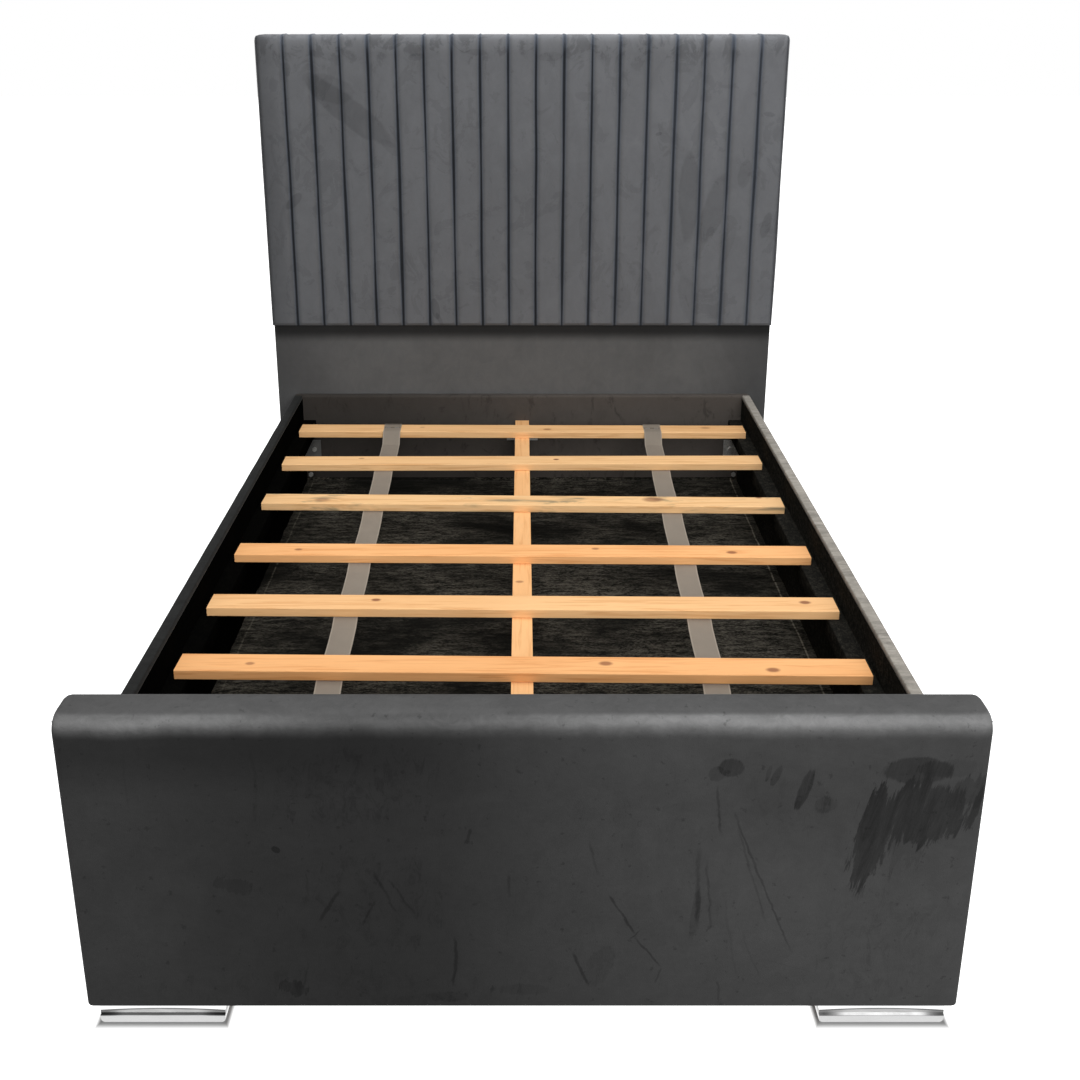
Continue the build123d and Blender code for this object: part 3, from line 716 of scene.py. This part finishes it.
def reshape(piece, move):
    """Leave edit mode and move every vertex by a rule."""
    if piece.mode == "EDIT":
        bpy.ops.object.mode_set(mode="OBJECT")
    for vertex in piece.data.vertices:
        vertex.co = move(vertex.co.copy())


def give_thickness(piece, thickness, offset=-1):
    """Turn a skin into cloth of a real thickness, closed at its edges."""
    take(piece)
    wall = piece.modifiers.new("cloth", "SOLIDIFY")
    wall.thickness = thickness
    wall.offset = offset
    wall.use_even_offset = False
    bpy.ops.object.modifier_apply(modifier=wall.name)


def fill_to(piece, foam_low, foam_high, up=None):
    """Give a cover its closed inner wall, which lies on the front and sides of the foam."""
    low = Vector((foam_low.x, foam_high.y, foam_low.z))
    high = Vector((foam_high.x, far, up or foam_high.z))
    outer = len(piece.data.vertices)
    give_thickness(piece, skin_t)
    for vertex in piece.data.vertices[outer:]:
        for axis in range(3):
            vertex.co[axis] = min(max(vertex.co[axis], low[axis]), high[axis])
    weld(piece)


def rolled_over(point, low, high, radius):
    """A point of a block, and the way it faces, once the block's edges are rolled over."""
    core = Vector(min(max(point[axis], low[axis] + radius), high[axis] - radius) for axis in range(3))
    out = point - core
    if out.length < 1e-9:
        return point, Vector((0, 0, 0))
    facing = out.normalized()
    return core + facing * radius, facing


def ripple(point, size, height, seed=0):
    """A soft unevenness of upholstery, from 0 to height."""
    return height * (0.5 + 0.5 * noise.noise(point / size + Vector((seed, seed, seed))))


def finish_piece(piece, material, node_names, body="bed_frame", smooth=40):
    """Dress a piece, hang it on its body and let it stand for its CAD nodes."""
    piece.data.materials.clear()
    piece.data.materials.append(material)
    take(piece)
    bpy.ops.object.shade_smooth_by_angle(angle=math.radians(smooth))
    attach(piece, body)
    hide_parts(*node_names)


def stretch_cloth(piece, cloth_t, material, node, smooth=60):
    """Make a shaped skin a stretched sheet that stands for one node of the frame."""
    give_thickness(piece, cloth_t)
    finish_piece(piece, material, (node,), smooth=smooth)


# ---------------- headboard: channelled upper part
channel_w = (pleat_high.x - pleat_low.x) / channel_count
across_channel = 15
seam_wander = 2.6 * MM
seam_tuck = 3.5 * MM            # the seams stand up at the top edge
tuck_reach = 6 * MM
seam_reach = 16 * MM            # the painted seam shade and crushed pile beside a seam
crown_power = 2.4               # how sharply a channel falls to its seam
gather_power = 1.5              # how much of the net is drawn to the seams
touch = 1e-6                    # how near counts as lying on a face


def from_seam(x):
    """Share of the way from the nearest seam to the middle of its channel, and the channel's number."""
    place = (x - pleat_low.x) / channel_w
    number = min(max(int(place), 0), channel_count - 1)
    return 1 - abs(2 * (place - number) - 1), number


def channel_shape(point):
    """Crowned channels between stitched seams, which stand up in small tucks at the top."""
    low = pleat_low - Vector((0, 0, 1))
    high = pleat_high + Vector((0, 1, 0))
    rolled, facing = rolled_over(point, low, high, velvet_roll)
    share, number = from_seam(point.x)
    inwards = share * channel_w / 2
    sunk = channel_crown * max(0, 1 - inwards / shoulder) ** crown_power
    if abs(point.x) > pleat_high.x - touch:
        sunk = 0
    forward = max(0, -facing.y)
    upward = max(0, facing.z)
    rolled.y += sunk * forward
    rolled.z += (seam_tuck * max(0, 1 - inwards / tuck_reach) - 0.2 * sunk) * upward ** 2
    rolled.y += ripple(point, *channel_swell, number * 7.3) * forward * min(1, share * 2)
    rolled.x += seam_wander * noise.noise(Vector((round(point.x / channel_w) * 3.1, 0, point.z * 4)))
    tuck = min(1, max(0, 1 - (point.z - pleat_low.z) / channel_crown))
    hem = channel_crown * (1 - math.sqrt(1 - tuck ** 2))
    rolled.y = max(rolled.y, pleat_low.y + hem + 0.1 * tuck * (point.y - pleat_low.y))
    return rolled


cuts = ((0, channel_count - 1), (0, across_channel), (2, 99), (1, 13))
channel_pad = block_net("headboard_channels", pleat_low, pleat_high, (BACK,), cuts)
slice_at(1, panel_low.y)
drop_faces(
    channel_pad,
    lambda middle, facing: middle.z < pleat_low.z + touch
    and middle.y > panel_low.y
    and abs(middle.x) < core_high.x,
)


def gather(point):
    """Draw the net's columns together towards the seams, where the shape turns fastest."""
    place = (point.x - pleat_low.x) / channel_w
    number = min(max(math.floor(place + touch), 0), channel_count - 1)
    part = 2 * (place - number) - 1
    eased = math.copysign(1 - max(0, 1 - abs(part)) ** gather_power, part)
    point.x = pleat_low.x + (number + 0.5 + 0.5 * eased) * channel_w
    return point


def seam_shade_depth(x):
    """How deep a point lies in the nearest seam's painted shade and crushed pile, from 0 to 1."""
    if abs(abs(x) - pleat_high.x) < 2 * MM:
        return 0
    return max(0, 1 - from_seam(x)[0] * channel_w / 2 / seam_reach)


reshape(channel_pad, gather)
seam = channel_pad.data.attributes.new("seam", "FLOAT", "POINT")
seam.data.foreach_set("value", [seam_shade_depth(vertex.co.x) for vertex in channel_pad.data.vertices])
reshape(channel_pad, channel_shape)
fill_to(channel_pad, core_low, core_high)
covered = ("headboard_channel_cover", "headboard_channel_foam")
finish_piece(channel_pad, headboard_velvet, covered)

# ---------------- headboard: plain lower part
lower_low, lower_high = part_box("headboard_lower_cover")
lower_core_low, lower_core_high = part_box("headboard_lower_foam")
lower_round = 8 * MM


def lower_shape(point):
    """A flat padded face with softly rolled sides."""
    low = lower_low + Vector((0, 0, -1))
    high = lower_high + Vector((0, 1, 1))
    rolled, facing = rolled_over(point, low, high, lower_round)
    rolled.z = point.z
    middle = 1 - abs(point.x) / lower_high.x
    rolled.y -= min(1, 6 * middle) * ripple(point, *lower_swell, 3.7) * max(0, -facing.y)
    return rolled


cuts = ((0, 99), (2, 49), (1, 13))
lower_pad = block_net("headboard_lower_panel", lower_low, lower_high, (BACK, UP), cuts)
drop_faces(
    lower_pad,
    lambda middle, facing: middle.z < lower_low.z + touch
    and middle.y > panel_low.y - 2 * MM
    and abs(middle.x) < lower_core_high.x,
)
reshape(lower_pad, lower_shape)
fill_to(lower_pad, lower_core_low, lower_core_high, far)
covered = ("headboard_lower_cover", "headboard_lower_foam")
finish_piece(lower_pad, lower_velvet, covered)

# ---------------- footboard
roll_r = 32 * MM
roll_z = foot_high.z - roll_r
foot_hem_reach = 20 * MM        # the cloth is drawn tight this near the hem
foot_end_reach = 30 * MM        # and this near the ends


def footboard_shape(point):
    """A padded top with rolled front and back edges over upright faces, with rounded ends."""
    low = foot_low - Vector((1, 0, 1))
    high = foot_high + Vector((1, 0, 0))
    rolled, facing = rolled_over(point, low, high, roll_r)
    rolled.z = point.z if point.z < roll_z else rolled.z
    rolled.x = point.x
    end = abs(point.x) - (foot_high.x - foot_end_round)
    draw_in = foot_end_round - math.sqrt(max(0, foot_end_round ** 2 - max(0, end) ** 2))
    skin = facing.length > 0.5 and (abs(facing.y) > touch or abs(facing.z) > touch)
    if not skin:
        return rolled
    outward = Vector((0, facing.y, facing.z)).normalized()
    swell = ripple(point, *foot_swell, 11) + ripple(point, *foot_dimples, 5)
    low_edge = min(1, (point.z - foot_low.z) / foot_hem_reach)
    away = min(1, (foot_high.x - abs(point.x)) / foot_end_reach)
    front = 1 if outward.y < 0.2 else 0
    return rolled + outward * (swell * low_edge * away * front - draw_in)


cuts = ((0, 99), (1, 17), (2, 11))
foot_pad = block_net("footboard_upholstery", foot_low, foot_high, (DOWN,), cuts)
slice_at(2, roll_z)
for side in (-1, 1):
    for share in (0.25, 0.5, 0.75, 1):
        slice_at(0, side * (foot_high.x - foot_end_round * share ** 2))
for share in (0.2, 0.4, 0.6, 0.8):
    slice_at(2, roll_z + roll_r * share)
reshape(foot_pad, footboard_shape)
weld(foot_pad)
give_thickness(foot_pad, foot_velvet_t)
finish_piece(foot_pad, foot_velvet, ("footboard_cover", "footboard_foam"))


# ---------------- cloth laid along a section
def cloth_strip(name, section, sweep, start, end, fold, steps):
    """Cloth that follows a section and runs straight from start to end along the sweep axis."""
    other = 1 - sweep
    bpy.ops.mesh.primitive_plane_add(size=1)
    piece = bpy.context.object
    piece.name = name
    bpy.ops.object.mode_set(mode="EDIT")
    net = bmesh.from_edit_mesh(piece.data)

    def at(place, along):
        spot = [0, 0, place[1]]
        spot[sweep] = along
        spot[other] = place[0]
        return spot

    corners = [at(section[0], start), at(section[1], start), at(section[1], end), at(section[0], end)]
    for vertex, corner in zip(net.faces[:][0].verts, corners):
        vertex.co = corner
    bmesh.update_edit_mesh(piece.data)
    for here, there in zip(section[1:], section[2:]):
        spot = Vector(at(here, (start + end) / 2))
        pick_edges(piece, lambda middle, run: (middle - spot).length < 1e-5 and abs(run[sweep]) > 0.9)
        step = Vector(at(there, 0)) - Vector(at(here, 0))
        bpy.ops.mesh.extrude_region_move(TRANSFORM_OT_translate={"value": step})
    if fold:
        ends = [Vector(at(place, (start + end) / 2)) for place in (section[0], section[-1])]
        pick_edges(
            piece,
            lambda middle, run: abs(run[sweep]) > 0.9
            and all((middle - tip).length > 1e-5 for tip in ends),
        )
        bpy.ops.mesh.bevel(offset=fold, segments=3, affect="EDGES")
    cut_along(piece, sweep, steps)
    bpy.ops.mesh.select_all(action="SELECT")
    bpy.ops.mesh.normals_make_consistent(inside=False)
    return piece


# ---------------- rail covers
rail_return = 10 * MM           # velvet turned down inside the rail
rail_crease = 40 * MM           # an extra line of the net below the rail's top
rail_fold = 3 * MM
lining_fold = 1.2 * MM
ledge_clear = 8 * MM            # the lining lies flat this near the ledge
strip_cuts = 99


def make_rail_cover(side, node, material):
    """Velvet up the outer face, over the board, and a short return inside."""
    low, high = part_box(node)
    outer = max(abs(low.x), abs(high.x))
    inner = side * min(abs(low.x), abs(high.x))
    section = [
        (side * outer, low.z),
        (side * outer, (low.z + high.z) / 2),
        (side * outer, high.z - rail_crease),
        (side * outer, high.z),
        (inner, high.z),
        (inner, high.z - rail_return),
    ]
    name = node.replace("cover", "velvet")
    piece = cloth_strip(name, section, 1, low.y, high.y, rail_fold, strip_cuts)

    def shape(point):
        drop = (high.z - point.z) / (high.z - low.z)
        bulge = ripple(Vector((side * 3, point.y, point.z)), *rail_side_swell)
        if abs(point.x) > outer - 5 * MM:
            point.x += side * bulge * min(1, 4 * drop + 0.35)
        if point.z > high.z - 4 * MM:
            point.z += ripple(Vector((side * 5, point.y, 0)), *rail_top_swell)
        return point

    reshape(piece, shape)
    stretch_cloth(piece, velvet_t, material, node)


make_rail_cover(-1, "left_rail_cover", left_rail_velvet)
make_rail_cover(1, "right_rail_cover", right_rail_velvet)

rail_low, rail_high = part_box("head_rail_cover")
head_rail_round = 4 * MM
slack_x = 0.66                  # the velvet is drawn tight from here to the ends
slack_reach = 0.04


def head_rail_shape(point):
    """Velvet over the inside, the top and both ends of the head rail."""
    low = rail_low - Vector((0, 0, 1))
    high = rail_high + Vector((0, 1, 0))
    rolled, facing = rolled_over(point, low, high, head_rail_round)
    inside = min(1, max(0, (slack_x - abs(point.x)) / slack_reach))
    rise = min(1, (point.z - rail_low.z) / 0.05)
    rolled.y -= max(0, -facing.y) * inside * rise * ripple(point, *head_rail_swell, 21)
    rolled.z += max(0, facing.z) * ripple(Vector((point.x, 0, 0)), *head_rail_top_swell, 2)
    return rolled


cuts = ((0, 99), (1, 9), (2, 69))
head_rail = block_net("head_rail_velvet", rail_low, rail_high, (BACK, DOWN), cuts)
reshape(head_rail, head_rail_shape)
stretch_cloth(head_rail, velvet_t, head_rail_velvet, "head_rail_cover")


# ---------------- black linings
def make_side_lining(side, node, material):
    """Black cloth down the inside of a rail and round its slat ledge."""
    low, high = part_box(node)
    ledge_low, ledge_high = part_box(node.replace("rail_lining", "ledge"))
    wall = side * (max(abs(low.x), abs(high.x)) - lining_t)
    nose = side * (min(abs(ledge_low.x), abs(ledge_high.x)) - lining_t)
    section = [
        (wall, high.z),
        (wall, ledge_high.z + lining_t),
        (nose, ledge_high.z + lining_t),
        (nose, ledge_low.z - lining_t),
        (wall, ledge_low.z - lining_t),
        (wall, low.z),
    ]
    name = node.replace("rail_", "side_")
    piece = cloth_strip(name, section, 1, low.y, high.y, lining_fold, strip_cuts)

    def shape(point):
        pucker = ripple(Vector((side, point.y * 2, point.z)), *lining_pucker, 9)
        if not ledge_low.z - ledge_clear <= point.z <= ledge_high.z + ledge_clear:
            hold = min(1, abs(point.z - ledge_high.z) / 0.05, (high.z - point.z) / 0.01 + 0.1)
            point.x -= side * pucker * max(0, hold)
        return point

    reshape(piece, shape)
    stretch_cloth(piece, lining_cloth_t, material, node, 50)


make_side_lining(-1, "left_rail_lining", painted_shade_left_lining)
make_side_lining(1, "right_rail_lining", right_lining)

base_low, base_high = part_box("base_cloth")
leg_low, leg_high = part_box("centre_leg")
base_fold = 6 * MM
leg_clear = 24 * MM             # the cloth lies flat this near the middle of the leg


def base_shape(point):
    """A loose cloth tray with a soft fold round its edge."""
    low = base_low
    high = base_high + Vector((0, 0, 1))
    rolled, facing = rolled_over(point, low, high, base_fold)
    rolled.z = min(rolled.z, max(point.z, low.z))
    near_leg = max(abs(point.x), abs(point.y - (leg_low.y + leg_high.y) / 2)) < leg_clear
    inner = min(1, (base_high.x - abs(point.x)) / 0.05)
    if abs(facing.z) > 0.9 and not near_leg:
        rolled.z += ripple(point, *base_slack, 1) * max(0, inner)
    return rolled


base_sheet = block_net("dust_cloth", base_low, base_high, (UP,), ((0, 79), (1, 99), (2, 3)))
for axis in (0, 1):
    slice_at(axis, leg_low[axis])
    slice_at(axis, leg_high[axis])
drop_faces(
    base_sheet,
    lambda middle, facing: leg_low.x < middle.x < leg_high.x and leg_low.y < middle.y < leg_high.y,
)
reshape(base_sheet, base_shape)
stretch_cloth(
    base_sheet, lining_cloth_t, base_lining, "base_cloth", 40
)

back_low, back_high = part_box("headboard_back_cloth")
other_sides = (FRONT, RIGHT, LEFT, UP, DOWN)
back_sheet = block_net("headboard_back_lining", back_low, back_high, other_sides, ((0, 79), (2, 79)))
staple_pitch = 90 * MM
staple_pull = 0.5 * MM
staple_reach = 50 * MM          # the cloth is drawn in from this far


def back_shape(point):
    """Thin cloth drawn to a row of staples, slack over the open bays of the frame."""
    edge = min(point.z - back_low.z, back_high.z - point.z, back_high.x - abs(point.x))
    pull = max(0, 1 - edge / staple_reach)
    along = point.x if min(point.z - back_low.z, back_high.z - point.z) <= edge else point.z
    point.y -= staple_pull * pull * (0.5 + 0.5 * math.cos(2 * math.pi * along / staple_pitch))
    point.y += ripple(point, *back_slack, 4) * (1 - pull)
    return point


reshape(back_sheet, back_shape)
stretch_cloth(
    back_sheet, back_cloth_t, back_lining, "headboard_back_cloth", 40
)


# ---------------- webbing straps
slats = [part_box(f"slat_{number}") for number in range(1, 8)]
slat_half = 32 * MM
slat_skews = (-0.5, 0.3, -1.1, -0.7, -0.7, -0.9, -0.3)
strap_head_x = 389 * MM         # strap centre at the first slat
strap_drift = -24 * MM          # sideways shift from the first slat to the last
strap_half = 25.5 * MM
strap_play = 0.3 * MM


def make_strap(side, node):
    """Webbing laid over the first slat and stapled under the rest, hanging slack between them."""
    strap_head = side * strap_head_x
    middles = [
        (slat_low.y + slat_high.y) / 2 + strap_head * math.tan(math.radians(skew))
        for (slat_low, slat_high), skew in zip(slats, slat_skews)
    ]
    drift = strap_drift / (middles[0] - middles[-1])
    over = slats[0][1].z + strap_play
    under = slats[0][0].z - strap_play
    hem = over + webbing_t
    section = [
        (middles[0] + slat_half - webbing_hem, hem),
        (middles[0] + slat_half + 0.8 * MM, hem),
        (middles[0] + slat_half + 0.8 * MM, over),
        (middles[0] - slat_half - 1 * MM, over),
    ]
    for last, here in zip(middles, middles[1:]):
        section += [
            (here * 0.25 + last * 0.75, under - 0.75 * webbing_sag),
            ((here + last) / 2, under - webbing_sag),
            (here * 0.75 + last * 0.25, under - 0.75 * webbing_sag),
            (here + slat_half, under),
            (here - slat_half, under),
        ]
    name = node.replace("strap", "webbing_strap")
    piece = cloth_strip(name, section, 0, strap_head - strap_half, strap_head + strap_half, 0, 7)

    def shape(point):
        edge = (point.x - strap_head) / strap_half
        gap = min(abs(point.y - middle) for middle in middles)
        curl = min(1, max(0, gap - slat_half) / 0.03)
        point.z -= curl * (1.2 * MM * edge * edge - ripple(point, *strap_twist))
        point.x += side * drift * (middles[0] - point.y)
        return point

    cut_along(piece, 1, 5)
    lay_uv(piece, strap_head, strap_half)
    reshape(piece, shape)
    give_thickness(piece, webbing_cloth_t, 1)
    finish_piece(piece, strap_webbing, (node,), body="slat_set", smooth=50)


def lay_uv(piece, middle_x, half):
    """U across the strap, V along it, in metres from its head end."""
    bpy.ops.object.mode_set(mode="OBJECT")
    layer = piece.data.uv_layers.active or piece.data.uv_layers.new(name="weave")
    for loop in piece.data.loops:
        spot = piece.data.vertices[loop.vertex_index].co
        layer.data[loop.index].uv = ((spot.x - middle_x + half) / (2 * half), slats[0][1].y - spot.y)


make_strap(-1, "left_strap")
make_strap(1, "right_strap")


# ---------------- finishes of the CAD nodes
def dress(material, *nodes):
    for node in nodes:
        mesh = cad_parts[node].data
        mesh.materials.clear()
        mesh.materials.append(material)


def slat_middle(number):
    low, high = slats[number - 1]
    return (low.y + high.y) / 2


slat_woods = (
    # warmth, knots as x, y from the middle, radius in millimetres and redness, stain
    (0.35, ((75, -8, 12, 0.6), (-300, 10, 8, 0.35), (550, 4, 14, 0.4)), 0),
    (0.25, ((95, 4, 8, 1), (-450, 12, 8, 0.5)), 0),
    (0.15, ((-512, 2, 20, 0.4), (336, 4, 26, 0.62), (610, 16, 8, 0.8)), 0.75),
    (0.90, ((-522, 4, 9, 0.7), (171, 8, 9, 0.65), (486, -12, 12, 0.8)), 0),
    (0.40, ((-312, 12, 10, 0.85), (601, 0, 12, 0.85)), 0),
    (0.95, ((-525, 4, 9, 0.6), (161, 4, 13, 0.75), (479, -20, 13, 0.8)), 0),
    (0.5, ((200, 0, 10, 0.6), (-400, 10, 8, 0.6)), 0),
)
for number, (warmth, knots, stain) in enumerate(slat_woods, start=1):
    middle = slat_middle(number)
    placed = [(x * MM, middle + y * MM, radius * MM, redness) for x, y, radius, redness in knots]
    dress(pine(f"slat_pine_{number}", 0, warmth, placed, stain), f"slat_{number}")

beam_knots = ((0.004, 0.62, 0.007, 0.5), (-0.006, -0.15, 0.009, 0.6), (0.008, -0.68, 0.008, 0.6))
dress(pine("beam_pine", 1, 0.6, beam_knots), "centre_beam")
dress(pine("leg_pine", 2, 0.4), "centre_leg")
dress(
    pine("frame_pine", 0, 0.3),
    *(f"headboard_{place}_batten" for place in ("top", "middle", "rail", "base")),
    *(f"footboard_{place}_rail" for place in ("top", "middle", "base")),
)
dress(
    pine("post_pine", 2, 0.3),
    *(f"{side}_headboard_upright" for side in ("left", "right")),
    *(f"{side}_footboard_post" for side in ("left", "right")),
)
dress(pine("ledge_pine", 1, 0.3), "left_ledge", "right_ledge")
dress(
    board,
    *("headboard_panel", "footboard_front_panel", "footboard_back_panel"),
    *(f"{place}_rail_board" for place in ("head", "left", "right")),
)
dress(bright_chrome, "left_chrome_foot", "right_chrome_foot")
dress(
    bright_zinc,
    *(f"{corner}_bracket" for corner in ("right_head", "left_foot", "right_foot")),
    *("bracket_bolts", "headboard_bolts", "cradle_screws", "ledge_screws", "foot_screws"),
    *("head_beam_cradle", "foot_beam_cradle"),
)
dress(painted_shade_zinc, "left_head_bracket")
dress(wire_zinc, "strap_staples")
dress(plastic, "left_headboard_glide", "right_headboard_glide", "centre_leg_glide")


# ---------------- floor, light and camera
def pale_floor():
    """A pale floor that shows white past the object and keeps its shadow, with a painted contact shadow
    round each chrome foot.
    """
    finish = Finish("pale_floor", 0.9)
    finish.colour(rgb(0.26, 0.26, 0.26))
    seen, glossy, through = finish.looks()
    low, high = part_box("right_chrome_foot")
    middle = (low + high) / 2
    reach = (high - low) / 2
    x, y, _ = finish.axes()
    beside = {0: 1.8 * (abs(abs(x) - middle.x) - reach.x), 1: abs(y - middle.y) - reach.y}
    beside = finish.node("ShaderNodeMath", {"operation": "MAXIMUM"}, beside)
    # painted contact shadow: for camera rays the glow fades out within about 22 mm of each chrome foot
    strength = 1.4 - seen * finish.fade(beside, 0.001, 0.022, 1.4, 0)
    glow = finish.node("ShaderNodeEmission", None, {"Color": rgb(1, 1, 1), "Strength": strength})
    plain = Shade(finish, finish.shader.outputs[0])
    both = finish.node("ShaderNodeAddShader", None, {0: plain, 1: glow})
    looks = {0: seen + glossy + through, 1: plain, 2: both}
    mixed = finish.node("ShaderNodeMixShader", None, looks)
    finish.tree.links.new(mixed.socket, finish.tree.nodes["Material Output"].inputs["Surface"])
    return finish.material


floor_z = -0.5 * MM             # just below the feet
bpy.ops.mesh.primitive_plane_add(size=40, location=(0, 0, floor_z))
floor = bpy.context.object
floor.name = "floor"
floor.data.materials.append(pale_floor())

world = bpy.data.worlds.new("studio")
scene.world = world
world.use_nodes = True
sky = Nodes(world.node_tree)
seen, glossy, through = sky.looks()
background = sky.tree.nodes["Background"]
background.inputs["Color"].default_value = rgb(1, 1, 1)
background.inputs["Strength"].default_value = 0.36
white = sky.node("ShaderNodeBackground", None, {"Color": rgb(1, 1, 1), "Strength": 1})
looks = {0: seen + glossy + through, 1: Shade(sky, background.outputs[0]), 2: white}
choice = sky.node("ShaderNodeMixShader", None, looks)
sky.tree.links.new(choice.socket, sky.tree.nodes["World Output"].inputs["Surface"])


def softbox(name, spot, aim, size, power):
    light = bpy.data.lights.new(name, "AREA")
    light.shape = "RECTANGLE"
    light.size, light.size_y = size
    light.energy = power
    lamp = bpy.data.objects.new(name, light)
    scene.collection.objects.link(lamp)
    lamp.location = spot
    lamp.rotation_euler = (Vector(aim) - Vector(spot)).to_track_quat("-Z", "Y").to_euler()


softbox("top_softbox", (0.3, 0.4, 4.2), (0, -0.1, 0.3), (3.2, 3.6), 106)
softbox("front_softbox", (0.9, -4.4, 2.6), (0, 0, 0.6), (3, 2.2), 160)

camera = bpy.data.cameras.new("camera")
camera.lens = 40.417
camera.sensor_width = 36
camera.shift_x = 0.0165
camera.shift_y = -0.1345
eye = bpy.data.objects.new("camera", camera)
scene.collection.objects.link(eye)
eye.location = (0, -2.6066, 1.5773)
eye.rotation_euler = (math.radians(72.22), 0, 0)
scene.camera = eye
scene.view_settings.view_transform = "Standard"
